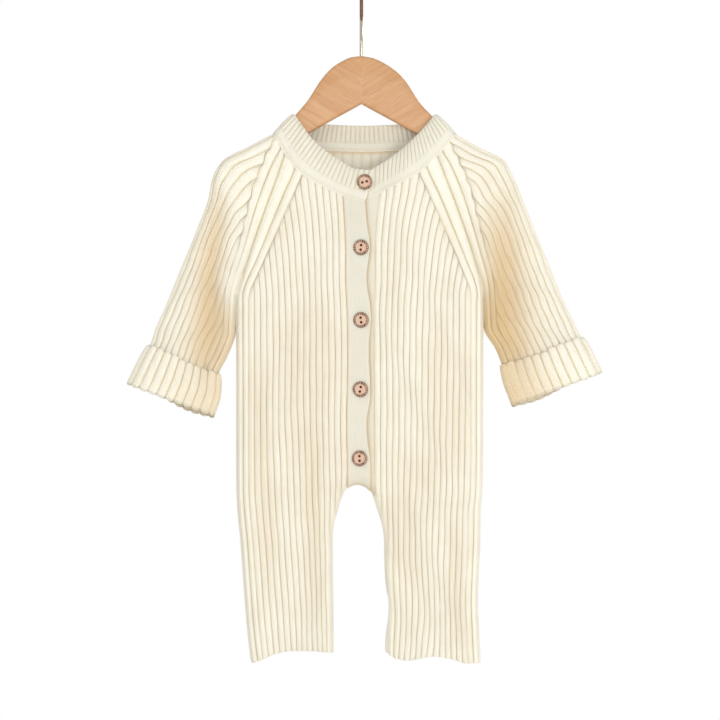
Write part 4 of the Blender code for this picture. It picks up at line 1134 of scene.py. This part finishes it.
def strip_patch(left, right, neck, set_back, top_x, lift, edges, shade_from=None):
    """A plain strip down the front between two edges, folding under at the crotch."""
    across = (1 - np.cos(np.linspace(0, np.pi, STRIP_COLUMNS))) / 2
    top_drop = read(neck, "seam_x", "seam_drop", top_x[0] + across * (top_x[1] - top_x[0]))
    down = 1 - (1 - np.linspace(0, 1, STRIP_ROWS)[:, None]) ** 1.25
    guess = top_drop + down * (CROTCH_DROP - top_drop)
    x = left(guess) + across * (right(guess) - left(guess))
    end = arch_drop(x)
    drop = top_drop + down * (end - top_drop)
    depth = read(DEPTH, "drop", "depth", drop) * rounded(np.maximum(end - drop, 0), LEG_ROUND)
    depth = depth - set_back * np.clip((arch_drop(CROTCH_X) - drop) / (2 * LEG_ROUND), 0.3, 1)
    base = np.stack([x, -np.maximum(depth, HALF_GAP), -drop], -1)
    slope = np.gradient(depth, axis=0) / np.maximum(np.gradient(drop, axis=0), 1e-3)
    normals = unit(np.stack([0 * x, np.full_like(x, -1), slope], -1))
    normals[-1] = (0, 0, -1)
    from_left, from_right = x - left(guess), right(guess) - x
    roll = np.zeros_like(x)
    for distance, amount in ((from_left, edges[0]), (from_right, edges[1])):
        roll += amount * (1 - rounded(distance, 2.2))
    puff = np.ones_like(x)
    for _, button_drop, _ in zip(*BUTTONS.values()):
        puff -= 0.9 * np.exp(-((drop - button_drop) / 11) ** 2)
    sink = roll - lift * puff * (0.25 + 0.75 * across) + 0.5 * np.exp(-((drop - top_drop) / 1.6) ** 2)
    stitch = np.stack([x / FINE_STITCH[0], drop / FINE_STITCH[1], 0 * x], -1)
    # Painted shade: a dark line along the band's linked left edge and above the crotch arch; on the stand,
    # the band's shadow and a line along its right edge. The inside is painted in the full groove shade.
    fold = np.maximum(0.8 * np.exp(-(from_left / 1.1) ** 2), 0.5 * np.exp(-((end - drop) / 2.2) ** 2))
    if shade_from:
        fold = OVERHANG_SHADOW * np.exp(-((x - shade_from(drop)) / SHADE_REACH) ** 2)
        fold = np.maximum(fold, 0.5 * np.exp(-(from_right / 0.9) ** 2))
    return make_patch(base, normals, sink, np.full_like(x, -0.5), np.full_like(x, 0.93), stitch, fold)


def band_left(drop):
    return read(BAND, "drop", "left", drop) - TUCK


def band_right(drop):
    return read(BAND, "drop", "right", drop)


def stand_left(drop):
    return np.full_like(drop, STAND_LEFT)


def stand_right(drop):
    return read(BAND, "drop", "stand", drop) + TUCK


band_patch = strip_patch(band_left, band_right, NECK_LEFT, 0.0, (-17.4, 3.2), 0.7, (1.5, 0.9))
stand_patch = strip_patch(stand_left, stand_right, NECK_RIGHT, STAND_SET_BACK, (STAND_LEFT, 16.6), 0.0,
                          (0.6, 1.0), band_right)
for name, patch in (("button_band", band_patch), ("button_stand", stand_patch)):
    panels[name] = settle(add_wall(f"{name}_knit", [patch], COTTON_FINE), "plain_knit_cream", name)

# %% [markdown]
# ## Neckband
#
# The neckband is knitted separately and linked on, stitch by stitch, which leaves
# a flat strip with a row of small linking stitches along the seam. Above that the
# band is ribbed, and its edge rounds over. Its ribs are counted along the seam.

# %% Neckband
NECK_PITCH = 5.1
NECK_DEEP = 1.25
NECK_ROWS = 21
NECK_WIDE = 27        # from the seam to the free edge
NECK_COURSE = 1.9     # height of a stitch on the neckband
PLAIN_SHARE = 0.36
NECK_OVER = 0.05      # the linked edge lies this share of the band over the panels


def top_row(patch, backwards=False):
    """The first row of a patch, in the order the neckband runs."""
    points, normals = patch["base"][0], patch["normals"][0]
    return (points[::-1], normals[::-1]) if backwards else (points, normals)


stretches = [
    (*top_row(band_patch, True), NECK_LEFT),
    (*top_row(front_left, True), NECK_LEFT),
    (*top_row(sleeve_patches["left", -1]), NECK_LEFT),
    (*top_row(sleeve_patches["left", 1], True), NECK_BACK),
    (*top_row(back_left), NECK_BACK),
    (*top_row(back_right, True), NECK_BACK),
    (*top_row(sleeve_patches["right", 1]), NECK_BACK),
    (*top_row(sleeve_patches["right", -1], True), NECK_RIGHT),
    (*top_row(front_right), NECK_RIGHT),
    (*top_row(stand_patch, True), NECK_RIGHT),
]
seam = np.concatenate([points for points, _, _ in stretches])
lean = np.concatenate([normals for _, normals, _ in stretches])
free = np.concatenate([
    np.stack([read(tab, "seam_x", "top_x", points[:, 0]), NECK_LEAN * points[:, 1],
              -read(tab, "seam_x", "top_drop", points[:, 0])], -1)
    for points, _, tab in stretches
])
run = np.concatenate([[0], np.cumsum(np.linalg.norm(np.diff(seam, axis=0), axis=1))])
even = np.arange(0, run[-1], 0.5)
path = np.stack([np.interp(even, run, column) for column in np.c_[seam, lean, free].T], -1)
window = np.ones(9) / 9
padded = np.concatenate([path[:1].repeat(4, 0), path, path[-1:].repeat(4, 0)])
path = np.stack([np.convolve(column, window, "valid") for column in padded.T], -1)
neck_ribs = round(run[-1] / NECK_PITCH)
neck_rib, neck_part = rib_columns(neck_ribs)
path = resample(path, (neck_rib + neck_part) / neck_ribs)
seam, lean, free = path[:, :3], unit(path[:, 3:6]), path[:, 6:]
share = np.linspace(0, 1, NECK_ROWS)[:, None]
base = seam + (share[..., None] * (1 + NECK_OVER) - NECK_OVER) * (free - seam)
bulge = NECK_BULGE * 4 * share * (1 - share)
base = base + bulge[..., None] * lean
normals = unit(lean + (0.35 * (2 * share[..., None] - 1)) * unit(free - seam))
height = rib_height(neck_part) * np.ones_like(share)
ribbed = 1 / (1 + np.exp(-(share - PLAIN_SHARE) / 0.03))
ends = np.minimum(neck_rib + neck_part, neck_ribs - neck_rib - neck_part) * NECK_PITCH
stitches = 0.5 + 0.5 * np.cos(2 * np.pi * WALES * (neck_rib + neck_part + 0.5 * share))
linked = np.exp(-((share - 0.09) / 0.05) ** 2) + 0.8 * np.exp(-((share - PLAIN_SHARE) / 0.035) ** 2)
sink = (NECK_DEEP * (1 - height) * ribbed + 0.35 * (1 - ribbed) + 0.8 * linked * (1 - stitches)
        - 0.45 + 0.5 * np.exp(-(share / 0.03) ** 2) + 1.3 * np.exp(-((1 - share) / 0.06) ** 2)
        + 0.8 * np.exp(-(ends / 1.2) ** 2))
course = share * NECK_WIDE / NECK_COURSE
stitch = np.stack(np.broadcast_arrays((neck_rib + neck_part) * WALES, course, 0 * share), -1)
neck_height = 1 - (1 - height) * ribbed - 0.8 * linked * (1 - stitches)
neck_height = np.clip(neck_height, 0, 1)
# Painted shadow where the neckband's right end lies behind its left end. The band's inside is also painted a
# little deeper into the groove shade.
behind = 0.7 * np.exp(-((seam[:, 0] - 4.0) / 2.4) ** 2) * (neck_rib > neck_ribs / 2)
neck_painted_shadow = behind * np.ones_like(share)
neck_patch = make_patch(base, normals, sink, neck_height - 0.2, neck_height, stitch, neck_painted_shadow)
neckband = add_wall("neckband_knit", [neck_patch], COTTON_RIB)
panels["neckband"] = settle(neckband, "rib_knit_neckband", "neckband")

# %% [markdown]

# %% [markdown]
# ## Wooden buttons
#
# Each button is a 15 mm disc of olive wood turned on a lathe: a dished middle, a
# thin turned groove round it, and a soft raised rim. A laser has burnt a ring of
# small marks into the rim. They are left as plain uneven ticks here, one for each
# step round the ring, so the part carries no lettering. Two holes are bored for
# the thread; each is drawn as a thin dark disc let into the face, which shows as a
# hole does but isn't cut. A lathe makes a body of revolution, so the profile is a
# short table of radius and height, turned in even steps. The marks are colour and
# a shallow bump, because they are burnt only a fifth of a millimetre deep.

# %% Button profile
BUTTON_STEPS = 96
BUTTON_MARKS = 17     # uneven burnt marks round the rim
BUTTON_TILT = -9      # degrees; thread holds one edge of a button closer
BUTTON_PROFILE = (
    (0.0, 0.55), (2.6, 0.56), (3.6, 0.62), (4.0, 0.60), (4.15, 0.50), (4.3, 0.60), (4.6, 0.78), (5.2, 0.98),
    (6.0, 1.12), (6.6, 1.08), (7.1, 0.82), (7.4, 0.40), (7.5, 0.0), (7.42, -0.5), (7.1, -1.0), (6.4, -1.3),
    (3.0, -1.3),
)


print("points on a button's profile:", len(BUTTON_PROFILE))

# %% Olive wood
MARK_RADIUS = 5.9     # middle of the ring of marks
RIM_SHADE_RADIUS = 6.95     # from here outwards the rim is painted dark, for the shade on its rounded edge
MARK_DEEP = 0.2 * MM
# A streak of grain in millimetres: long, across and deep. It is shorter than in real olive wood,
# and so fine that it shows from a distance only as uneven tone.
GRAIN = (1.82, 0.303, 1.82)


def button_material():
    """Turned olive wood with a laser-burnt ring of small marks in its rim."""
    # Sanded and not lacquered: streaky pale wood with a soft sheen, and brown where it is burnt.
    # Its outer rim is painted dark, for the shade on its rounded edge.
    made, tree, shader = new_material("olive_wood_turned", {"Roughness": 0.5})
    place = add_node(tree, "ShaderNodeAttribute", {"attribute_name": "spot"}).outputs["Vector"]
    split = add_node(tree, "ShaderNodeSeparateXYZ", {0: place})
    x, y = split.outputs[0], split.outputs[1]
    x_part = add_node(tree, "ShaderNodeMath", {"operation": "POWER", 0: x, 1: 2.0})
    y_part = add_node(tree, "ShaderNodeMath", {"operation": "POWER", 0: y, 1: 2.0})
    squared = add_node(tree, "ShaderNodeMath", {"operation": "ADD", 0: x_part, 1: y_part})
    radius = add_node(tree, "ShaderNodeMath", {"operation": "SQRT", 0: squared})
    angle = add_node(tree, "ShaderNodeMath", {"operation": "ARCTAN2", 0: y, 1: x})
    turns = add_node(tree, "ShaderNodeMath",
                     {"operation": "MULTIPLY_ADD", 0: angle, 1: BUTTON_MARKS / math.tau, 2: 40.0})
    number = add_node(tree, "ShaderNodeMath", {"operation": "FLOOR", 0: turns})
    chance = add_node(tree, "ShaderNodeTexWhiteNoise", {"noise_dimensions": "1D", "W": number})
    along = add_node(tree, "ShaderNodeMath", {"operation": "FRACT", 0: turns})
    centred = add_node(tree, "ShaderNodeMath", {"operation": "SUBTRACT", 0: along, 1: 0.5})
    off = add_node(tree, "ShaderNodeMath", {"operation": "ABSOLUTE", 0: centred})
    wide = add_node(tree, "ShaderNodeMath", {"operation": "MULTIPLY_ADD", 0: chance, 1: 0.18, 2: 0.25})
    tall = add_node(tree, "ShaderNodeMath", {"operation": "MULTIPLY_ADD", 0: chance, 1: 0.45, 2: 0.75})
    within = add_node(tree, "ShaderNodeMath", {"operation": "LESS_THAN", 0: off, 1: wide})
    ring = add_node(tree, "ShaderNodeMath", {"operation": "COMPARE", 0: radius, 1: MARK_RADIUS, 2: tall})
    burnt = add_node(tree, "ShaderNodeMath", {"operation": "MULTIPLY", 0: within, 1: ring})
    rim = add_node(tree, "ShaderNodeMath", {"operation": "GREATER_THAN", 0: radius, 1: RIM_SHADE_RADIUS})
    # The mesh carries this place in millimetres, so a scale here is one over a size.
    stretch = add_node(tree, "ShaderNodeMapping", {"Scale": [1 / size for size in GRAIN], "Vector": place})
    grain = add_node(tree, "ShaderNodeTexNoise",
                     {"Scale": 1.0, "Detail": 6.0, "Roughness": 0.6, "Vector": stretch})
    colour = add_node(tree, "ShaderNodeMix", {"data_type": "RGBA", 0: grain, 6: "#E6C8B0", 7: "#BC937A"})
    # Painted shade: the outer rim is mixed towards dark brown for the shade on its rounded edge; the burnt
    # marks are their own brown.
    for where, share, dark in ((rim, 0.85, "#5E3C2A"), (burnt, 0.95, "#4E2B1E")):
        amount = add_node(tree, "ShaderNodeMath", {"operation": "MULTIPLY", 0: where, 1: share})
        colour = add_node(tree, "ShaderNodeMix",
                          {"data_type": "RGBA", 0: amount, 6: colour.outputs[2], 7: dark})
    tree.links.new(colour.outputs[2], shader.inputs["Base Color"])
    level = add_node(tree, "ShaderNodeMath", {"operation": "SUBTRACT", 0: 1.0, 1: burnt})
    relief = add_node(tree, "ShaderNodeBump", {"Strength": 0.6, "Distance": MARK_DEEP, "Height": level})
    tree.links.new(relief.outputs[0], shader.inputs["Normal"])
    return made


OLIVE_WOOD = button_material()
# Painted shadow: a dark brown, dull disc stands for the shade inside each bored hole.
HOLE_SHADOW = new_material("burnt_wood_bore", {"Base Color": "#3A1D14", "Roughness": 0.8})[0]
print("button materials:", OLIVE_WOOD.name, HOLE_SHADOW.name)


# %% Buttons
BORE_R = 1.3
BORE_THICK = 0.4      # of the dark disc that stands for a hole
BORE_LEVEL = 0.42     # its middle; its face stands just proud of the dish


def add_button(number, x, drop, face_y, turn):
    """One button: a body of revolution, and a dark disc for each of its two holes."""
    points, faces = [(0, 0, BUTTON_PROFILE[0][1])], []
    for radius, level in BUTTON_PROFILE[1:]:
        for step in range(BUTTON_STEPS):
            angle = math.tau * step / BUTTON_STEPS
            points.append((radius * math.cos(angle), radius * math.sin(angle), level))
    points.append((0, 0, BUTTON_PROFILE[-1][1]))
    rings = len(BUTTON_PROFILE) - 1
    for step in range(BUTTON_STEPS):
        beside = (step + 1) % BUTTON_STEPS
        faces.append([0, 1 + step, 1 + beside])
        for ring in range(rings - 1):
            near, far = 1 + ring * BUTTON_STEPS, 1 + (ring + 1) * BUTTON_STEPS
            faces.append([near + step, far + step, far + beside, near + beside])
        last = 1 + (rings - 1) * BUTTON_STEPS
        faces.append([last + beside, last + step, len(points) - 1])
    mesh = bpy.data.meshes.new(f"button_{number}_body")
    mesh.from_pydata((np.array(points) * MM).tolist(), [], faces)
    store(mesh, "spot", points, "FLOAT_VECTOR")
    body = place_mesh(mesh.name, mesh, OLIVE_WOOD, 50)
    body.location = (x * MM, face_y * MM, -drop * MM)
    body.rotation_euler = (math.radians(90), 0, math.radians(BUTTON_TILT))
    settle(body, "button_wood", f"button_{number}")
    bm = bmesh.new()
    for hole in (-1, 1):
        angle = math.radians(turn)
        grown = bmesh.ops.create_cone(bm, cap_ends=True, segments=24, radius1=BORE_R * MM,
                                      radius2=BORE_R * MM, depth=BORE_THICK * MM)
        off = hole * HOLE_SPREAD
        shift = Vector((off * math.cos(angle), off * math.sin(angle), BORE_LEVEL)) * MM
        bmesh.ops.translate(bm, verts=grown["verts"], vec=shift)
    bores = bpy.data.meshes.new(f"button_{number}_bores")
    bm.to_mesh(bores)
    bm.free()
    bores.materials.append(HOLE_SHADOW)
    dark = bpy.data.objects.new(f"button_{number}_bores", bores)
    dark.location, dark.rotation_euler = body.location, body.rotation_euler
    bpy.context.scene.collection.objects.link(dark)
    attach(dark, "root")
    return body


for number, (x, drop, turn) in enumerate(zip(*BUTTONS.values()), start=1):
    cloth_y = float(read(DEPTH, "drop", "depth", drop)) + (NECK_BULGE if number == 1 else 0)
    add_button(number, x, drop, -(cloth_y + BUTTON_CLEAR + BUTTON_THICK / 2), turn)
print("buttons:", number)

# %% [markdown]
# ## Hanger
#
# The hanger is sawn in two halves from a 10 mm beech board and joined under the
# hook. Each half is an outline: a round crown, a hollow down to the shoulder, a
# long straight arm and a round end. A router has rounded its long edges. So each
# half is its outline, extruded and bevelled. The grain runs along each arm, so the
# two halves carry the same oiled beech turned to their own slope.

# %% Hanger outline
WOOD_HALF = 5.0
WOOD_EDGE = 2.4
HANGERS = {"left": table(
    "x      drop",
    (0.0,    68.4), (-10.0,  69.6), (-18.0,  73.0), (-26.0,  78.0), (-33.0,  84.4), (-40.0,  93.2),
    (-46.0, 102.6), (-51.0, 110.4), (-56.0, 116.6), (-62.0, 123.6), (-70.0, 133.4), (-82.0, 144.6),
    (-106.0, 157.4), (-123.0, 167.2), (-128.6, 172.0), (-130.4, 178.0), (-128.4, 183.6), (-123.0, 184.0),
    (-51.0, 142.0), (0.0,   114.0),
), "right": table(
    "x      drop",
    (0.0,    68.4), (10.0,   70.0), (19.0,   73.6), (28.0,   79.0), (36.0,   85.4), (43.0,   93.4),
    (48.6,  102.0), (54.0,  110.6), (60.0,  117.8), (67.0,  125.0), (76.0,  134.8), (88.0,  145.6),
    (112.0, 158.8), (126.4, 167.8), (132.2, 172.6), (134.2, 178.8), (132.2, 184.6), (126.4, 184.8),
    (54.0,  143.4), (0.0,   114.0),
)}
SMOOTH_STEPS = 6
STRAIGHT_RUN = 40     # a longer stretch than this is a straight edge


def between(t, start, leaving, end, arriving):
    """A point part of the way along a smooth curve, from its ends and its directions there."""
    return ((2 * t ** 3 - 3 * t ** 2 + 1) * start + (t ** 3 - 2 * t ** 2 + t) * leaving
            + (3 * t ** 2 - 2 * t ** 3) * end + (t ** 3 - t ** 2) * arriving)


def smooth_outline(tab):
    """The outline with a rounded curve through its points, straight on its long runs."""
    points = np.stack([tab["x"], -tab["drop"]], -1)
    made = []
    for place in range(len(points) - 1):
        before = points[max(place - 1, 0)]
        a, b = points[place], points[place + 1]
        after = points[min(place + 2, len(points) - 1)]
        length = np.linalg.norm(b - a)
        m0, m1 = (b - a, b - a) if length > STRAIGHT_RUN else ((b - before) / 2, (after - a) / 2)
        m0, m1 = (m * min(1, 1.2 * length / max(np.linalg.norm(m), 1e-6)) for m in (m0, m1))
        made += [between(step / SMOOTH_STEPS, a, m0, b, m1) for step in range(SMOOTH_STEPS)]
    made.append(points[-1])
    return np.array(made)


print("points round one half:", len(smooth_outline(HANGERS["left"])))


# %% Beech
FIGURE = (83.3, 16.7, 5.26)     # size of a band of grain in millimetres: along, deep and across
FLECK = (8.33, 1.11, 0.667)     # and of a fleck, drawn longer than beech's own so that it shows


def beech_material(name, slope):
    """Steamed beech, sanded and oiled: fine grain along the arm, with short flecks."""
    # Oil soaks in: the wood keeps a soft sheen, and its darker flecks run with the grain.
    made, tree, shader = new_material(name, {"Roughness": 0.5, "Coat Weight": 0.06})
    place = add_node(tree, "ShaderNodeTexCoord").outputs["Object"]
    turned = add_node(tree, "ShaderNodeMapping",
                      {"Rotation": (0, math.radians(slope), 0), "Vector": place})
    long, short = (add_node(tree, "ShaderNodeMapping",
                            {"Scale": [per_metre(length) for length in size], "Vector": turned})
                   for size in (FIGURE, FLECK))
    broad = add_node(tree, "ShaderNodeTexNoise",
                     {"Scale": 1.0, "Detail": 6.0, "Roughness": 0.62, "Distortion": 0.5, "Vector": long})
    fleck = add_node(tree, "ShaderNodeTexNoise", {"Scale": 1.0, "Detail": 2.0, "Vector": short})
    flecks = add_node(tree, "ShaderNodeMapRange", {1: 0.56, 2: 0.72, 3: 0.0, 4: 0.55, 0: fleck})
    wide = add_node(tree, "ShaderNodeMapRange", {1: 0.32, 2: 0.68, 0: broad})
    figure = add_node(tree, "ShaderNodeMix", {"data_type": "RGBA", 0: wide, 6: "#C99D72", 7: "#BA8758"})
    colour = add_node(tree, "ShaderNodeMix",
                      {"data_type": "RGBA", 0: flecks, 6: figure.outputs[2], 7: "#A97646"})
    tree.links.new(colour.outputs[2], shader.inputs["Base Color"])
    relief = add_node(tree, "ShaderNodeBump", {"Strength": 0.3, "Distance": 0.1 * MM, "Height": broad})
    tree.links.new(relief.outputs[0], shader.inputs["Normal"])
    return made


BEECH = {side: beech_material(f"beech_oiled_{side}", slope) for side, slope in (("left", -31), ("right", 31))}
print("beech:", [made.name for made in BEECH.values()])


# %% The two halves
def add_arm(side):
    """One half of the hanger, its outline extruded and its long edges rounded."""
    joint = 0.02 if side == "right" else -0.02
    outline = smooth_outline(HANGERS[side])
    bm = bmesh.new()
    front = [bm.verts.new(((x if abs(x) > 0.01 else joint) * MM, -WOOD_HALF * MM, z * MM))
             for x, z in outline]
    grown = bmesh.ops.extrude_face_region(bm, geom=[bm.faces.new(front)])
    moved = [item for item in grown["geom"] if isinstance(item, bmesh.types.BMVert)]
    bmesh.ops.translate(bm, verts=moved, vec=(0, 2 * WOOD_HALF * MM, 0))
    bmesh.ops.recalc_face_normals(bm, faces=bm.faces)
    edges = [edge for edge in bm.edges
             if abs(edge.verts[0].co.y - edge.verts[1].co.y) < 1e-6
             and max(abs(vert.co.x) for vert in edge.verts) > 0.3 * MM]
    bmesh.ops.bevel(bm, geom=edges, offset=WOOD_EDGE * MM, segments=5, profile=0.5, affect="EDGES",
                    clamp_overlap=True)
    mesh = bpy.data.meshes.new(f"arm_{side}")
    bm.to_mesh(mesh)
    bm.free()
    return settle(place_mesh(mesh.name, mesh, BEECH[side], 45), "beech", f"hanger_{side}")


arms = [add_arm(side) for side in HANGERS]
print("hanger halves:", [arm.name for arm in arms])

# %% [markdown]
# ## Hook
#
# The hook is one length of 3.5 mm steel wire, nickel plated, bent round a former
# into a half circle and back down to a straight shank. Its tip is dipped in soft
# vinyl, so that it doesn't scratch the rail. A bent wire is a path with a round
# section, so it is drawn as a curve with a bevel. From the front it is seen edge
# on, as a thin upright line.

# %% Hook path
WIRE_R = 1.75
HOOK_R = 24.0
SHANK_END = 86.0
TIP_ANGLE = -36.0
SLEEVE_START = 32.0


def hook_circle(degrees):
    """A point of the hook's arc, 0 degrees at the back and 180 in front."""
    angle = math.radians(degrees)
    return HOOK_R * math.cos(angle), WIRE_R - HOOK_R + HOOK_R * math.sin(angle)


print("top of the wire's middle line:", [round(value, 2) for value in hook_circle(90)])


def add_wire(name, places, radii, finish):
    """A round wire along a row of points, with closed ends."""
    curve = bpy.data.curves.new(name, "CURVE")
    curve.dimensions = "3D"
    curve.bevel_depth = WIRE_R * MM
    curve.bevel_resolution = 8
    curve.use_fill_caps = True
    spline = curve.splines.new("POLY")
    spline.points.add(len(places) - 1)
    for point, (y, z), radius in zip(spline.points, places, radii):
        point.co = (0, y * MM, z * MM, 1)
        point.radius = radius
    holder = bpy.data.objects.new(name + "_path", curve)
    mesh = bpy.data.meshes.new_from_object(holder)
    bpy.data.objects.remove(holder)
    mesh.name = name
    mesh.materials.clear()
    return place_mesh(name, mesh, finish, 50)


# %% Hook wire and its dipped tip
# Nickel plate is polished: a bright, slightly warm metal with soft reflections.
STEEL = new_material("steel_nickel_plated", {"Base Color": "#CFC8BA", "Metallic": 1.0, "Roughness": 0.22})[0]
# Dipped vinyl cures smooth: an even brown with a broad shine.
VINYL = new_material("vinyl_dipped_bronze", {"Base Color": "#6A4A32", "Roughness": 0.35})[0]
BEND_TURN = -50.0     # degrees round the arc where the bend to the shank begins
BEND_PULL = 17.0      # how strongly the bend keeps its direction at each end
BEND_STEPS = 14
shank = [(0.0, -SHANK_END), (0.0, -74.0), (0.0, -65.0)]
start, end = np.array([0.0, -56.0]), np.array(hook_circle(BEND_TURN))
leave = BEND_PULL * np.array([-math.sin(math.radians(BEND_TURN)), math.cos(math.radians(BEND_TURN))])
bend = [between(step / BEND_STEPS, start, np.array([0.0, BEND_PULL]), end, leave)
        for step in range(BEND_STEPS)]
sleeve_from = 180.0 - SLEEVE_START
route = shank + bend + [hook_circle(angle) for angle in np.linspace(BEND_TURN, sleeve_from, 60)]
settle(add_wire("hook_wire", route, [1.0] * len(route), STEEL), "hook_steel", "hook")
gap = math.degrees(0.3 / HOOK_R)
angles = np.linspace(sleeve_from + gap, 180.0 - TIP_ANGLE, 30)
radii = np.concatenate([np.ones(24), np.sqrt(1 - np.linspace(0.15, 0.97, 6) ** 2)])
settle(add_wire("hook_dip", [hook_circle(angle) for angle in angles], radii, VINYL), "hook_vinyl", "hook_tip")
print("hook:", len(route), "points along the wire")

# %% [markdown]
# ## Stage and light
#
# A catalogue shot lights a garment evenly and lets the backdrop go white. A large
# key softbox stands high on the left, so every rib has a bright left side and a
# soft shade on its right. A weaker fill on the right, one near the camera and a
# low one open the shadows, and one behind does the same for the back. The world gives
# the rest as even light; it is brighter where the camera sees it, as an
# overexposed backdrop is.

# %% Stage and light
world = bpy.data.worlds.new("studio")
bpy.context.scene.world = world
world.use_nodes = True
tree = world.node_tree
tree.nodes.clear()
from_camera = add_node(tree, "ShaderNodeLightPath").outputs["Is Camera Ray"]
ambient = add_node(tree, "ShaderNodeBackground", {"Color": "#FFFCF6", "Strength": 0.68})
seen = add_node(tree, "ShaderNodeBackground", {"Color": "#FFFFFF", "Strength": 1.0})
mixed = add_node(tree, "ShaderNodeMixShader", {0: from_camera, 1: ambient, 2: seen})
add_node(tree, "ShaderNodeOutputWorld", {0: mixed})
bpy.context.scene.view_settings.view_transform = "Standard"


LIGHT_AIM = Vector((0, 0, -0.36))   # metres; about the middle of the garment


def add_softbox(name, place, size, power):
    """A round softbox aimed at the garment."""
    light = bpy.data.lights.new(name, "AREA")
    light.shape = "DISK"
    light.size = size
    light.energy = power
    made = bpy.data.objects.new(name, light)
    made.location = place
    aim = LIGHT_AIM - Vector(place)
    made.rotation_euler = aim.to_track_quat("-Z", "Y").to_euler()
    made.visible_camera = False
    bpy.context.scene.collection.objects.link(made)
    return made


for name, place, size, power in (
        ("key_softbox", (-1.2, -1.9, 1.15), 0.9, 7), ("fill_softbox", (1.6, -1.8, 0.1), 1.2, 6.3),
        ("front_softbox", (0.1, -2.8, -0.1), 0.9, 18.5), ("low_softbox", (0.7, -1.7, -0.62), 0.6, 4.5),
        ("back_softbox", (0.8, 1.9, 0.6), 1.2, 24)):
    add_softbox(name, place, size, power)

# Uncoated paper scatters light evenly: pale, without gloss.
FLOOR_MATERIAL = new_material("paper_backdrop_matt", {"Base Color": "#F4F2EE", "Roughness": 0.9})[0]
FLOOR_HALF, FLOOR_LEVEL = 1.6, -0.95   # metres; the floor lies 0.3 m below the hems
corners = [(x * FLOOR_HALF, y * FLOOR_HALF, FLOOR_LEVEL) for x, y in ((-1, -1), (1, -1), (1, 1), (-1, 1))]
floor_mesh = bpy.data.meshes.new("floor")
floor_mesh.from_pydata(corners, [], [(0, 1, 2, 3)])
floor_mesh.materials.append(FLOOR_MATERIAL)
floor = bpy.data.objects.new("floor", floor_mesh)
bpy.context.scene.collection.objects.link(floor)

# %% [markdown]
# ## Finish
#
# The last cell counts the triangles and prints the piece with the most.

# %% Finish
triangles = {}
for item in bpy.data.objects:
    if item.type == "MESH" and not item.hide_render:
        triangles[item.name] = sum(len(face.vertices) - 2 for face in item.data.polygons)
most = max(triangles, key=triangles.get)
print("triangles:", sum(triangles.values()), "most on one piece:", most, triangles[most])
